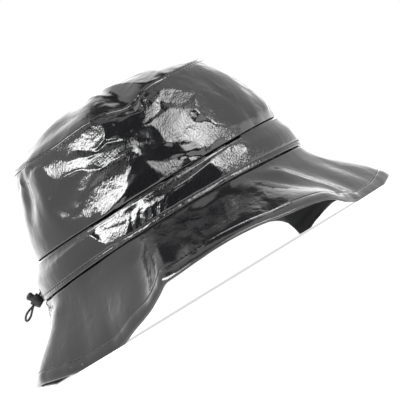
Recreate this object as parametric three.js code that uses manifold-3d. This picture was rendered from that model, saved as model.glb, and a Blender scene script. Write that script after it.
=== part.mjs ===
// A bucket-shaped rain hat of black coated cloth, lying on its brim.
// Millimetres and degrees. +X is the front of the hat, -Y its near side, +Z up, and the floor is z = 0.
// Angles go round the head oval from the front (0) over the far side (90) and the back (180).
import * as THREE from "three";
import { mergeVertices } from "three/addons/utils/BufferGeometryUtils.js";
import Module from "manifold-3d";

const wasm = await Module();
wasm.setup();

// Cloth and sewing
const wall = 1.3; // one layer of coated cloth with its backing
const hemWall = 2.2; // the turned hem is three layers
const hemWidth = 7.5;
const brimFall = 62; // length of the brim from band to edge, down its slope
const bandOverlap = 0.9; // how far the band's foot stands out over the brim
const gap = 0.3; // clearance between neighbouring pieces
const bandLayers = 1.95; // how far the crown cloth lies inside the band's outer face
const segments = 80; // faces round the head oval

// Rings of the crown, from the foot of the band up to the seam of the top panel: where the ring
// crosses the centre line, its half width, its height, and how far its sides are raised.
const crownRings = [
  { ring: 0, back: -104.5, front: 104.2, side: 86, height: 53.8, sideRise: 4.5, oval: 2.0 }, // band foot
  { ring: 1, back: -102.4, front: 103.2, side: 84.5, height: 66, sideRise: 2.5, oval: 2.0 },
  { ring: 2, back: -96.4, front: 100, side: 81.5, height: 76.6, sideRise: 0.8, oval: 2.0 }, // band top
  { ring: 3, back: -94.4, front: 98.6, side: 80.5, height: 90, sideRise: 0, oval: 2.05 },
  { ring: 4, back: -90.8, front: 95.2, side: 77.5, height: 104, sideRise: 0, oval: 2.1 },
  { ring: 5, back: -86, front: 90.3, side: 73.5, height: 116, sideRise: 0, oval: 2.1 },
  { ring: 6, back: -81.5, front: 83, side: 68, height: 128, sideRise: 0, oval: 2.15 },
  { ring: 7, back: -76, front: 75, side: 61.5, height: 139, sideRise: 0, oval: 2.15 }, // seam of the top
];
const bandTopRing = 2;
const tipRing = 7;
const topRise = 17.5; // height of the top panel's dome over its seam
const topFullness = 2.7; // a higher power gives a flatter middle and a rounder shoulder

// The brim's edge: how far it stands out from the band's foot, and its height over the floor.
const brimEdge = [
  { at: 0, out: 40, height: 4.8 }, // front
  { at: 12, out: 34, height: -0.8 },
  { at: 22, out: 32, height: -0.8 },
  { at: 32, out: 38, height: 6 },
  { at: 41, out: 40, height: 8.8 },
  { at: 49, out: 34, height: 4.2 },
  { at: 55, out: 31, height: -0.8 }, // far front corner
  { at: 58, out: 39, height: 9 },
  { at: 61, out: 45, height: 15.5 },
  { at: 66, out: 49.5, height: 21 },
  { at: 73, out: 52, height: 24.5 },
  { at: 86, out: 51.5, height: 26 }, // far side
  { at: 100, out: 50, height: 23 },
  { at: 112, out: 45, height: 18 },
  { at: 124, out: 36, height: 9 },
  { at: 136, out: 30, height: 1.5 },
  { at: 146, out: 29, height: -0.8 }, // far back corner
  { at: 157, out: 30.5, height: -0.5 },
  { at: 168, out: 33.5, height: 3.2 },
  { at: 180, out: 35, height: 5.8 }, // back
  { at: 199, out: 37, height: 6.5 },
  { at: 213, out: 33, height: 3 },
  { at: 224, out: 28.5, height: -0.8 }, // near back corner
  { at: 233, out: 28, height: -0.6 },
  { at: 245, out: 34.5, height: 6.2 },
  { at: 252, out: 40.5, height: 11 },
  { at: 257, out: 46, height: 17 },
  { at: 261.5, out: 51, height: 23.7 }, // near side, where the brim is kinked up
  { at: 279, out: 52, height: 24.4 },
  { at: 288, out: 50.5, height: 22.6 },
  { at: 297, out: 48.5, height: 19 },
  { at: 305, out: 47, height: 16.5 },
  { at: 312, out: 44.5, height: 13.2 },
  { at: 321, out: 36, height: 5.5 },
  { at: 327, out: 32, height: 2.2 },
  { at: 334, out: 31, height: -0.8 }, // near front corner
  { at: 344, out: 33, height: -0.6 },
  { at: 352, out: 37, height: 2.5 },
];

// The brim between band and edge: it falls steeply first (waist) and rolls out before the edge (roll).
const brimFlow = [
  { at: 0, waist: 2.4, roll: 1.6 },
  { at: 60, waist: 3, roll: 1 },
  { at: 110, waist: 2, roll: 1.5 },
  { at: 180, waist: 5, roll: 1.8 },
  { at: 228, waist: 3.4, roll: 1.8 },
  { at: 262, waist: 0.5, roll: 2.2 },
  { at: 300, waist: 2.4, roll: 1 },
  { at: 330, waist: 3, roll: 1.4 },
];

// Soft folds that run down the brim, each from an angle at the band to one at the edge. "from" and
// "to" are shares of the brim's width where it starts and ends, and a negative height is a valley.
const brimFolds = [
  { root: 262, edge: 261, width: 4, from: 0, to: 1, height: 2.6 },
  { root: 254, edge: 254, width: 5, from: 0.1, to: 0.9, height: -1.8 },
  { root: 238, edge: 240, width: 8, from: 0, to: 0.9, height: 1.6 },
  { root: 205, edge: 200, width: 7, from: 0.05, to: 1, height: 2 },
  { root: 192, edge: 190, width: 5, from: 0.1, to: 0.9, height: -1.5 },
  { root: 284, edge: 276, width: 6, from: 0, to: 0.8, height: -1.8 },
  { root: 304, edge: 318, width: 4, from: 0.05, to: 0.85, height: -1.8 },
  { root: 312, edge: 327, width: 3.5, from: 0.05, to: 0.9, height: 1.8 },
  { root: 322, edge: 336, width: 4, from: 0.1, to: 0.95, height: -2 },
  { root: 332, edge: 345, width: 4, from: 0, to: 0.95, height: 2 },
  { root: 346, edge: 354, width: 5, from: 0.1, to: 0.8, height: -1.8 },
  { root: 24, edge: 20, width: 6, from: 0, to: 0.9, height: 1.8 },
  { root: 44, edge: 40, width: 5, from: 0.1, to: 0.9, height: -1.6 },
  { root: 66, edge: 62, width: 6, from: 0, to: 0.9, height: 1.5 },
  { root: 118, edge: 122, width: 6, from: 0.1, to: 0.9, height: -1.6 },
  { root: 150, edge: 152, width: 7, from: 0, to: 0.9, height: 1.6 },
];

// Where the seam of the top panel sags, with the width of each sag in degrees.
const seamSags = [
  { at: 281, width: 9, drop: 5 },
  { at: 236, width: 14, drop: 1.6 },
  { at: 120, width: 16, drop: 2.4 },
  { at: 40, width: 12, drop: 1.8 },
];

// Dents pressed into the crown's side: half length along and across, depth, and lean from level.
const sideDents = [
  { at: 282, height: 134, along: 15, across: 9, lean: 8, depth: 4.6 }, // under the top's seam
  { at: 258, height: 117, along: 30, across: 7, lean: 14, depth: 3 },
  { at: 244, height: 100, along: 22, across: 7, lean: 22, depth: -2 },
  { at: 278, height: 108, along: 18, across: 8, lean: 30, depth: 3 },
  { at: 296, height: 96, along: 20, across: 8, lean: 12, depth: 2.6 },
  { at: 308, height: 118, along: 16, across: 8, lean: -10, depth: -1.6 },
  { at: 222, height: 112, along: 8, across: 22, lean: 10, depth: -1.8 },
  { at: 205, height: 118, along: 9, across: 16, lean: 0, depth: 3.2 }, // back shoulder
  { at: 168, height: 104, along: 24, across: 9, lean: -10, depth: 2.4 },
  { at: 130, height: 118, along: 22, across: 9, lean: 12, depth: 2.6 },
  { at: 98, height: 100, along: 26, across: 8, lean: -8, depth: 2.8 },
  { at: 66, height: 120, along: 18, across: 9, lean: 15, depth: 2.6 },
  { at: 34, height: 104, along: 20, across: 8, lean: -12, depth: 2.2 },
  { at: 350, height: 108, along: 16, across: 10, lean: 6, depth: 1.4 },
];

// Dents of the top panel, by their place over the floor plan, with the turn of their long side.
const topDents = [
  { x: -10, y: -6, along: 30, across: 8, turn: 82, depth: 2.6 },
  { x: 16, y: -46, along: 17, across: 11, turn: 8, depth: 4.2 },
  { x: -34, y: -38, along: 26, across: 7, turn: -18, depth: 2.4 },
  { x: -36, y: -8, along: 24, across: 18, turn: 0, depth: -3 },
  { x: 34, y: 14, along: 26, across: 9, turn: 24, depth: 2.2 },
  { x: -30, y: 34, along: 24, across: 9, turn: 14, depth: 2.4 },
  { x: 52, y: -20, along: 16, across: 8, turn: 40, depth: 1.6 },
];

// Cord lock: where the cord crosses its axis, and the axis, leaning out from the upright
const lockCentre = new THREE.Vector3(-109.3, 11, 57.3);
const lockLean = 30;
const cord = { diameter: 1.5, sides: 8, apart: 1.9 };
const pressTravel = 1.6; // how far the plunger can be pushed in
const barrel = { radius: 4.4, bore: 2.9, top: 2.6, floor: -3.95, bottom: -4.75, foot: 3.2, waist: -1.6 };
const plunger = { radius: 2.6, head: 2.9, headHeight: 2.8, bottom: -2.05 };
const edgeRound = 0.5; // how far the lock's edges are broken
const slotWidth = cord.apart + cord.diameter + 2 * gap; // across both strands
const slotReach = cord.diameter / 2 + gap; // above and below a strand

// The cord: from the band's eyelet through the lock, round the loop and back. "out" is the way along
// the tunnel from the lock's axis, "aside" is across the two strands, and "drop" is down the axis.
const cordRoute = [
  { out: -6.8, aside: -0.95, drop: 0 },
  { out: -3, aside: -0.95, drop: 0 },
  { out: 0, aside: -0.95, drop: 0 },
  { out: 3.8, aside: -0.95, drop: 0 },
  { out: 6.4, aside: -1.5, drop: 0.45 },
  { out: 9.1, aside: -2.8, drop: 1.1 },
  { out: 11.8, aside: -3.55, drop: 1.75 },
  { out: 14.3, aside: -2.95, drop: 1.75 },
  { out: 15.8, aside: -1.15, drop: 1.25 },
  { out: 15.8, aside: 1.15, drop: 0.4 },
  { out: 14.3, aside: 2.95, drop: -0.45 },
  { out: 11.8, aside: 3.55, drop: -1.05 },
  { out: 9.1, aside: 2.8, drop: -0.9 },
  { out: 6.4, aside: 1.5, drop: -0.4 },
  { out: 3.8, aside: 0.95, drop: 0 },
  { out: 0, aside: 0.95, drop: 0 },
  { out: -3, aside: 0.95, drop: 0 },
  { out: -6.8, aside: 0.95, drop: 0 },
];
const cordSteps = 34;

const meanRadius = 86; // turns degrees round the crown into millimetres along it
const radians = THREE.MathUtils.degToRad;
const mix = THREE.MathUtils.lerp;
const ease = THREE.MathUtils.smoothstep;

// A smooth curve through one column of a table that doesn't swing past its values.
function columnCurve(rows, along, column, turn = 0) {
  const shifted = (part, by) => part.map((row) => ({ ...row, [along]: row[along] + by }));
  const all = turn
    ? [...shifted(rows.slice(-2), -turn), ...rows, ...shifted(rows.slice(0, 2), turn)]
    : rows;
  const x = all.map((row) => row[along]);
  const y = all.map((row) => row[column]);
  const last = x.length - 1;
  const rise = x.slice(0, last).map((_, i) => (y[i + 1] - y[i]) / (x[i + 1] - x[i]));
  const slope = x.map((_, i) => {
    if (i === 0 || i === last) return rise[Math.min(i, last - 1)];
    const before = rise[i - 1];
    const after = rise[i];
    return before * after > 0 ? (2 * before * after) / (before + after) : 0;
  });
  return (value) => {
    const at = turn ? THREE.MathUtils.euclideanModulo(value, turn) : value;
    let i = 0;
    while (i < last - 1 && at > x[i + 1]) i += 1;
    const width = x[i + 1] - x[i];
    const u = (at - x[i]) / width;
    const u2 = u * u;
    const u3 = u2 * u;
    return (
      (2 * u3 - 3 * u2 + 1) * y[i] +
      (u3 - 2 * u2 + u) * width * slope[i] +
      (3 * u2 - 2 * u3) * y[i + 1] +
      (u3 - u2) * width * slope[i + 1]
    );
  };
}

const columns = (rows, along, names, turn) =>
  Object.fromEntries(names.map((name) => [name, columnCurve(rows, along, name, turn)]));
const crown = columns(crownRings, "ring", ["back", "front", "side", "height", "sideRise", "oval"]);
const edge = columns(brimEdge, "at", ["out", "height"], 360);
const flow = columns(brimFlow, "at", ["waist", "roll"], 360);

// Difference of two angles, from -180 to 180.
const angleBetween = (a, b) => THREE.MathUtils.euclideanModulo(a - b + 180, 360) - 180;

// A point of the crown's outer face: an oval whose power is 2 for an ellipse.
function crownPoint(ring, at) {
  const cos = Math.cos(radians(at));
  const sin = Math.sin(radians(at));
  const bend = 2 / crown.oval(ring);
  const middle = (crown.front(ring) + crown.back(ring)) / 2;
  const half = (crown.front(ring) - crown.back(ring)) / 2;
  return new THREE.Vector3(
    middle + half * Math.sign(cos) * Math.abs(cos) ** bend,
    crown.side(ring) * Math.sign(sin) * Math.abs(sin) ** bend,
    crown.height(ring) + crown.sideRise(ring) * sin * sin,
  );
}

// The level direction that points out of the oval at a ring.
function outward(ring, at) {
  const half = (crown.front(ring) - crown.back(ring)) / 2;
  return new THREE.Vector3(
    Math.cos(radians(at)) / half,
    Math.sin(radians(at)) / crown.side(ring),
    0,
  ).normalize();
}

// How deep the crown's side is pressed in at a place: a sum of soft oval dents.
function sideDent(at, height) {
  return sideDents.reduce((sum, dent) => {
    const round = radians(angleBetween(at, dent.at)) * meanRadius;
    const up = height - dent.height;
    const cos = Math.cos(radians(dent.lean));
    const sin = Math.sin(radians(dent.lean));
    const a = (round * cos + up * sin) / dent.along;
    const b = (up * cos - round * sin) / dent.across;
    return sum + dent.depth * Math.exp(-(a * a + b * b));
  }, 0);
}

function topDent(x, y) {
  return topDents.reduce((sum, dent) => {
    const cos = Math.cos(radians(dent.turn));
    const sin = Math.sin(radians(dent.turn));
    const a = ((x - dent.x) * cos + (y - dent.y) * sin) / dent.along;
    const b = ((y - dent.y) * cos - (x - dent.x) * sin) / dent.across;
    return sum + dent.depth * Math.exp(-(a * a + b * b));
  }, 0);
}

function seamSag(at) {
  return seamSags.reduce((sum, sag) => {
    const away = angleBetween(at, sag.at) / sag.width;
    return sum + sag.drop * Math.exp(-away * away);
  }, 0);
}

// The crown cloth: the ring's oval, pulled in under the band, dented, and sagging at the top's seam.
function crownCloth(ring, at) {
  const point = crownPoint(ring, at);
  const free = ease(ring, bandTopRing, bandTopRing + 1);
  const inwards = mix(bandLayers, sideDent(at, point.z), free);
  point.addScaledVector(outward(ring, at), -inwards);
  point.z -= seamSag(at) * ease(ring, tipRing - 2, tipRing);
  return point;
}

// The top panel: its seam scaled towards the middle by r, where its sags fade, under a dome with dents.
function topCloth(r, at) {
  const seam = crownCloth(tipRing, at);
  const level = crown.height(tipRing);
  const middle = (crown.front(tipRing) + crown.back(tipRing)) / 2;
  const x = middle + (seam.x - middle) * r;
  const y = seam.y * r;
  const dome = topRise * (1 - r ** topFullness);
  const free = 1 - ease(r, 0.8, 1);
  return new THREE.Vector3(x, y, mix(level, seam.z, r * r) + dome - free * topDent(x, y));
}

// The brim at s, from 0 at the band to 1 at the edge: a straight fall from the band's foot to the
// edge, moved square to itself by the waist, the roll and the folds. The floor flattens what meets it.
function brimCloth(s, at) {
  const out = outward(0, at);
  const root = crownPoint(0, at).addScaledVector(out, -bandOverlap);
  root.z -= gap + wall / 6; // the band's lower edge leans down by a sixth of its wall
  const end = crownPoint(0, at).addScaledVector(out, edge.out(at)).setZ(edge.height(at));
  const run = end.clone().sub(root);
  const level = Math.hypot(run.x, run.y);
  const square = out.clone().multiplyScalar(-run.z).setZ(level).normalize();
  const peak = 6.75; // makes s(1-s)^2 reach 1
  let lift = -flow.waist(at) * peak * s * (1 - s) ** 2 + flow.roll(at) * peak * s * s * (1 - s);
  for (const fold of brimFolds) {
    const away = angleBetween(at, mix(fold.root, fold.edge, s)) / fold.width;
    const length = ease(s, fold.from, fold.from + 0.2) * (1 - ease(s, fold.to - 0.2, fold.to + 0.1));
    lift += fold.height * length * Math.exp(-away * away);
  }
  return root.addScaledVector(run, s).addScaledVector(square, lift);
}

// Rows of points of a surface, one row for each value, with a point for each segment.
function rowsOf(surface, values) {
  const angles = Array.from({ length: segments }, (_, k) => (k * 360) / segments);
  return values.map((value) => angles.map((at) => surface(value, at)));
}

// Outward normals of rows of points that close on themselves.
function normalsOf(rows) {
  return rows.map((row, i) =>
    row.map((_, k) => {
      const next = row[(k + 1) % segments];
      const before = row[(k + segments - 1) % segments];
      const below = rows[Math.max(i - 1, 0)][k];
      const above = rows[Math.min(i + 1, rows.length - 1)][k];
      return next.clone().sub(before).cross(above.clone().sub(below)).normalize();
    }),
  );
}

// A mesh of one closed wall: the outer rows (listed upwards), the same rows moved in by the wall's
// thickness, and strips that join them at both ends, or poles that close the top.
function wallMesh(name, rows, normals, thickness, finish, pole = null) {
  const points = [];
  const faces = [];
  const add = (point) => points.push(point) - 1;
  const outer = rows.map((row) => row.map((p) => add(p)));
  const inner = rows.map((row, i) =>
    row.map((p, k) => {
      const inside = p.clone().addScaledVector(normals[i][k], -thickness(i));
      return add(inside.setZ(Math.max(inside.z, 0)));
    }),
  );
  const strip = (low, high) => {
    for (let k = 0; k < segments; k += 1) {
      const next = (k + 1) % segments;
      faces.push(low[k], low[next], high[next], low[k], high[next], high[k]);
    }
  };
  for (let i = 0; i + 1 < rows.length; i += 1) {
    strip(outer[i], outer[i + 1]);
    strip(inner[i + 1], inner[i]);
  }
  strip(inner[0], outer[0]);
  const last = rows.length - 1;
  if (pole) {
    const top = add(pole);
    const under = add(pole.clone().setZ(pole.z - thickness(last)));
    for (let k = 0; k < segments; k += 1) {
      const next = (k + 1) % segments;
      faces.push(outer[last][k], outer[last][next], top, inner[last][next], inner[last][k], under);
    }
  } else strip(outer[last], inner[last]);
  const geometry = new THREE.BufferGeometry().setFromPoints(points).setIndex(faces);
  geometry.computeVertexNormals();
  const mesh = new THREE.Mesh(geometry, finish);
  mesh.name = name;
  return mesh;
}

const coated = new THREE.MeshStandardMaterial({ color: 0x17181a, roughness: 0.12, metalness: 0 });
const lockPlastic = new THREE.MeshStandardMaterial({ color: 0x1a1a1c, roughness: 0.35, metalness: 0 });
const elastic = new THREE.MeshStandardMaterial({ color: 0x141416, roughness: 0.85, metalness: 0 });

// Crown side and top share the normals of one surface, so that their ends face each other at the seam.
function crownPanels() {
  const rise = [0, 1, 2, 2.5, 3.1, 3.8, 4.6, 5.4, 6.2, tipRing];
  const inward = [1, 0.92, 0.79, 0.62, 0.42, 0.2];
  const sideRows = rowsOf(crownCloth, rise);
  const topRows = rowsOf(topCloth, inward);
  const normals = normalsOf([...sideRows, ...topRows.slice(1)]);
  const seamRow = rise.length - 1;
  const shift = 0.6 * gap; // each side's share of the seam's clearance, measured along the leaning cloth
  const pull = (row, towards) =>
    row.map((p, k) => p.clone().addScaledVector(towards[k].clone().sub(p).normalize(), shift));
  const side = [...sideRows.slice(0, -1), pull(sideRows[seamRow], sideRows[seamRow - 1])];
  const top = [pull(topRows[0], topRows[1]), ...topRows.slice(1)];
  return [
    wallMesh("crown_side", side, normals, () => wall, coated),
    wallMesh("crown_tip", top, normals.slice(seamRow), () => wall, coated, topCloth(0, 0)),
  ];
}

function bandStrip() {
  const rows = rowsOf(crownPoint, [0, 1, bandTopRing]);
  return wallMesh("band", rows, normalsOf(rows), () => wall, coated);
}

function brimSheet() {
  const share = [1, 0.94, 0.88, 0.8, 0.7, 0.59, 0.48, 0.37, 0.26, 0.16, 0.07, 0];
  const rows = rowsOf(brimCloth, share);
  const normals = normalsOf(rows);
  const hemStart = 1 - hemWidth / brimFall;
  for (const row of rows) row.forEach((p) => p.setZ(Math.max(p.z, 0)));
  return wallMesh("brim", rows, normals, (i) => (share[i] > hemStart ? hemWall : wall), coated);
}

// A solid of manifold-3d from a closed geometry, and back.
function solid(geometry) {
  const bare = geometry.clone().deleteAttribute("normal").deleteAttribute("uv");
  const merged = mergeVertices(bare, 1e-4);
  const triVerts = new Uint32Array(merged.index.array);
  const vertProperties = merged.attributes.position.array;
  return new wasm.Manifold(new wasm.Mesh({ numProp: 3, vertProperties, triVerts }));
}

function meshOf(name, made, finish) {
  const { vertProperties, triVerts } = made.getMesh();
  const geometry = new THREE.BufferGeometry();
  geometry.setAttribute("position", new THREE.BufferAttribute(vertProperties, 3));
  geometry.setIndex(new THREE.BufferAttribute(triVerts, 1));
  geometry.computeVertexNormals();
  const mesh = new THREE.Mesh(geometry, finish);
  mesh.name = name;
  return mesh;
}

// A round body about +Z from pairs of radius and height that start and end on the axis.
function turned(profile, sides = 28) {
  const points = profile.map(([radius, height]) => new THREE.Vector2(radius, height));
  return new THREE.LatheGeometry(points, sides).rotateX(Math.PI / 2);
}

// A box centred on the tunnel (X) and the strands (Y), between two heights.
function slotCutter(bottom, top) {
  const length = 4 * barrel.radius;
  return new THREE.BoxGeometry(length, slotWidth, top - bottom).translate(0, 0, (bottom + top) / 2);
}

// The lock's own frame: +X out along the tunnel, +Z up its axis.
function lockGroup() {
  const b = barrel;
  const shell = solid(
    turned([
      [0, b.bottom],
      [b.foot, b.bottom],
      [b.foot + edgeRound, b.bottom + edgeRound],
      [b.radius, b.waist],
      [b.radius, b.top - edgeRound],
      [b.radius - edgeRound, b.top],
      [b.bore, b.top],
      [b.bore, b.floor],
      [0, b.floor],
    ]),
  );
  const p = plunger;
  const headBottom = b.top + pressTravel + gap;
  const headTop = headBottom + p.headHeight;
  const button = solid(
    turned([
      [0, p.bottom],
      [p.radius, p.bottom],
      [p.radius, headBottom],
      [p.head, headBottom + edgeRound],
      [p.head, headTop - 2 * edgeRound],
      [p.head - edgeRound, headTop - edgeRound / 2],
      [p.head / 2, headTop],
      [0, headTop],
    ]),
  );
  const group = new THREE.Group();
  group.add(
    meshOf("cord_lock_barrel", shell.subtract(solid(slotCutter(-slotReach, slotReach))), lockPlastic),
    meshOf(
      "cord_lock_plunger",
      button.subtract(solid(slotCutter(-slotReach, slotReach + pressTravel))),
      lockPlastic,
    ),
    cordMesh(),
  );
  group.position.copy(lockCentre);
  group.rotation.set(0, radians(lockLean), Math.PI, "ZYX");
  return group;
}

function cordMesh() {
  const points = cordRoute.map((row) => new THREE.Vector3(row.out, row.aside, -row.drop));
  const path = new THREE.CatmullRomCurve3(points, false, "centripetal");
  const radius = cord.diameter / 2;
  const corners = Array.from({ length: cord.sides }, (_, i) => {
    const turn = (i * 2 * Math.PI) / cord.sides;
    return new THREE.Vector2(radius * Math.cos(turn), radius * Math.sin(turn));
  });
  const tube = new THREE.ExtrudeGeometry(new THREE.Shape(corners), {
    steps: cordSteps,
    extrudePath: path,
    bevelEnabled: false,
  });
  return meshOf("draw_cord", solid(tube), elastic);
}

const hat = new THREE.Group();
hat.add(...crownPanels(), bandStrip(), brimSheet(), lockGroup());

// The origin is on the floor, under the middle of the brim.
const plan = new THREE.Box3().setFromObject(hat.getObjectByName("brim"));
const root = new THREE.Group();
hat.position.set(-(plan.min.x + plan.max.x) / 2, -(plan.min.y + plan.max.y) / 2, 0);
root.add(hat);

export default root;
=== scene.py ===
import math

import bpy
import numpy as np
from mathutils import Matrix, Vector


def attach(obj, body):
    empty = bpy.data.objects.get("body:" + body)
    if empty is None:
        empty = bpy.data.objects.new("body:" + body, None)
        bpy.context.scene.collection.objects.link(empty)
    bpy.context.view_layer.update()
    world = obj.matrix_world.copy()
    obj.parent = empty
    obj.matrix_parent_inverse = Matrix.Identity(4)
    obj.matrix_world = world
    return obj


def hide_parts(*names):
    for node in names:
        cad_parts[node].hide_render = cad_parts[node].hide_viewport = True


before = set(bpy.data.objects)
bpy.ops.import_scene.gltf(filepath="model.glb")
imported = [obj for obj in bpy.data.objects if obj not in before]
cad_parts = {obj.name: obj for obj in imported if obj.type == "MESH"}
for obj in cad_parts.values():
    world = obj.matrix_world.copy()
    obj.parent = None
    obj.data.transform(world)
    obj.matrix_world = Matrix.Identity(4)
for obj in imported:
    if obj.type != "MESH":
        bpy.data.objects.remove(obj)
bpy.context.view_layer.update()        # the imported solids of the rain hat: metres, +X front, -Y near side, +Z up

mm = 0.001
# The tables below count from the middle of the crown. The row frame counts from the middle of the brim.
hatShift = np.array([-2.2984, 0.1917, 0.0])


# Camera

cameraSet = {
    "distance": 2000,
    "across": 21.45,          # the camera stands this far towards the hat's front
    "height": 18,
    "aimHeight": 57,
    "roll": 31.5,             # degrees, the hat's front is lifted in the picture
    "widthSeen": 276,         # millimetres across the picture at the hat
    "sensor": 36,
    "picture": 400,           # pixels
    "farthest": 50,           # metres that it sees
}


def makeCamera():
    # It looks from its place at its aim and is turned about that line by the roll. The lens is the
    # sensor's width times the distance, over the width seen there.
    s = cameraSet
    place = Vector((s["across"], -s["distance"], s["height"])) * mm
    aim = Vector((s["across"], 0, s["aimHeight"])) * mm
    ahead = (aim - place).normalized()
    level = ahead.cross(Vector((0, 0, 1))).normalized()
    upright = level.cross(ahead)
    turn = math.radians(s["roll"])
    right = level * math.cos(turn) - upright * math.sin(turn)
    up = level * math.sin(turn) + upright * math.cos(turn)
    data = bpy.data.cameras.new("hatCamera")
    data.sensor_width = s["sensor"]
    data.lens = s["sensor"] * (aim - place).length / (s["widthSeen"] * mm)
    data.clip_end = s["farthest"]
    camera = bpy.data.objects.new("hatCamera", data)
    axes = Matrix((right, up, -ahead)).transposed().to_4x4()
    camera.matrix_world = Matrix.Translation(place) @ axes
    bpy.context.scene.collection.objects.link(camera)
    bpy.context.scene.camera = camera


def pixelsOf(points):
    # Where the camera sees points of the tables' frame, in pixels from the picture's top left corner:
    # the way aside and the way down, each over the depth and times the lens.
    turn = np.array(bpy.context.scene.camera.matrix_world.inverted())
    seen = (points + hatShift) * mm @ turn[:3, :3].T + turn[:3, 3]
    lens = bpy.context.scene.camera.data.lens / cameraSet["sensor"] * cameraSet["picture"]
    middle = cameraSet["picture"] / 2
    aside, down = [seen[..., k] / seen[..., 2] * lens for k in (0, 1)]
    return np.stack([middle - aside, middle + down], -1)


makeCamera()
print("camera placed")


# Meshes and surfaces

def tableOf(columns, *rows):
    # A table: one dictionary for each row of values, under the names of the columns.
    return [dict(zip(columns.split(), row)) for row in rows]


def runsOf(*runs):
    # The rows of a grid: even steps from a first value to a last one in so many rows, run after run.
    return np.concatenate([np.linspace(*run) for run in runs])


def mix(low, high, share):
    # low where share is 0 and high where it is 1.
    return low + (high - low) * share


def makePiece(name, points, faces, body, uv=None, marks=None, finishes=(), inside=None):
    # points are millimetres from the middle of the crown. inside marks the faces of the second finish.
    mesh = bpy.data.meshes.new(name)
    flat = np.asarray(points, float).reshape(-1, 3)
    mesh.from_pydata(((flat + hatShift) * mm).tolist(), [], faces)
    for finish in finishes:
        mesh.materials.append(finish)
    if inside is not None:
        mesh.polygons.foreach_set("material_index", inside.astype(np.int32))
    if uv is not None:
        corners = np.empty(len(mesh.loops), np.int32)
        mesh.loops.foreach_get("vertex_index", corners)
        layer = mesh.uv_layers.new(name="surface")
        layer.data.foreach_set("uv", np.asarray(uv, np.float32).reshape(-1, 2)[corners].ravel())
    for mark, values in (marks or {}).items():
        layer = mesh.attributes.new(mark, "FLOAT", "POINT")
        layer.data.foreach_set("value", np.asarray(values, np.float32).ravel())
    mesh.validate()
    mesh.shade_smooth()
    piece = bpy.data.objects.new(name, mesh)
    bpy.context.scene.collection.objects.link(piece)
    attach(piece, body)
    return piece


def gridFaces(first, rows, columns, closed=True, flip=False):
    # Quads between neighbouring rows and columns of a grid of points numbered row by row.
    last = columns if closed else columns - 1
    row, column = np.meshgrid(np.arange(rows - 1), np.arange(last), indexing="ij")
    after = (column + 1) % columns
    quads = np.stack([
        row * columns + column, row * columns + after,
        (row + 1) * columns + after, (row + 1) * columns + column,
    ], -1).reshape(-1, 4) + first
    return (quads[:, ::-1] if flip else quads).tolist()


def rimFaces(fineFirst, fineColumns, coarseFirst, coarseColumns, flip=False):
    # Closes the strip between a fine row and a coarse one: each coarse step meets several fine ones.
    step = fineColumns // coarseColumns
    j = np.arange(coarseColumns)[:, None]
    fine = (j * step + np.arange(step, -1, -1)) % fineColumns + fineFirst
    coarse = (j + np.array([[0, 1]])) % coarseColumns + coarseFirst
    faces = np.concatenate([coarse, fine], 1)
    return (faces[:, ::-1] if flip else faces).tolist()


def fanFaces(rowFirst, columns, pole, flip=False):
    # A triangle from each step of a row to one pole.
    j = np.arange(columns)
    faces = np.stack([j + rowFirst, (j + 1) % columns + rowFirst, np.full(columns, pole)], -1)
    return (faces[:, ::-1] if flip else faces).tolist()


def unit(vectors):
    # Each vector over its own length.
    return vectors / np.maximum(np.linalg.norm(vectors, axis=-1, keepdims=True), 1e-9)


def normalsOf(grid):
    # The cross product of the steps round the hat and along the rows, which run upwards.
    around = np.roll(grid, -1, 1) - np.roll(grid, 1, 1)
    along = np.gradient(grid, axis=0)
    return unit(np.cross(around, along))


def ease(value, low, high):
    # 0 up to low, 1 from high on, and three t squared minus two t cubed between them.
    t = np.clip((np.asarray(value, float) - low) / (high - low), 0, 1)
    return t * t * (3 - 2 * t)


def bell(distance, width):
    # e to the minus of the square of distance over width.
    return np.exp(-(distance / width) ** 2)


def angleBetween(a, b):
    # Degrees from b to a by the shorter way round.
    return np.mod(a - b + 180, 360) - 180


def ripple(points, wavelength, seed, waves=14):
    # Soft waves in every direction: a sum of sines along random ways through space, from -1 to 1.
    random = np.random.default_rng(seed)
    ways = unit(random.normal(size=(waves, 3)))
    numbers = 2 * np.pi / (wavelength * random.uniform(0.7, 1.5, waves))
    phases = random.uniform(0, 2 * np.pi, waves)
    total = np.sin(points @ (ways * numbers[:, None]).T + phases).sum(-1)
    return total / np.sqrt(waves)


def crinkle(points, wavelength, seed):
    # Sharp creases with soft fields between them: one minus the size of a ripple, bent by slower ones.
    bend = np.stack([ripple(points, 2.5 * wavelength, seed + k) for k in (1, 2, 3)], -1)
    bent = points + 0.35 * wavelength * bend
    return 0.5 - np.abs(ripple(bent, 2 * wavelength, seed))


def cubic(u, start, end, startSlope, endSlope):
    # The curve of third power from start to end, with these slopes there, while u goes from 0 to 1.
    return (
        (2 * u**3 - 3 * u**2 + 1) * start + (u**3 - 2 * u**2 + u) * startSlope
        + (3 * u**2 - 2 * u**3) * end + (u**3 - u**2) * endSlope
    )


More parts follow.
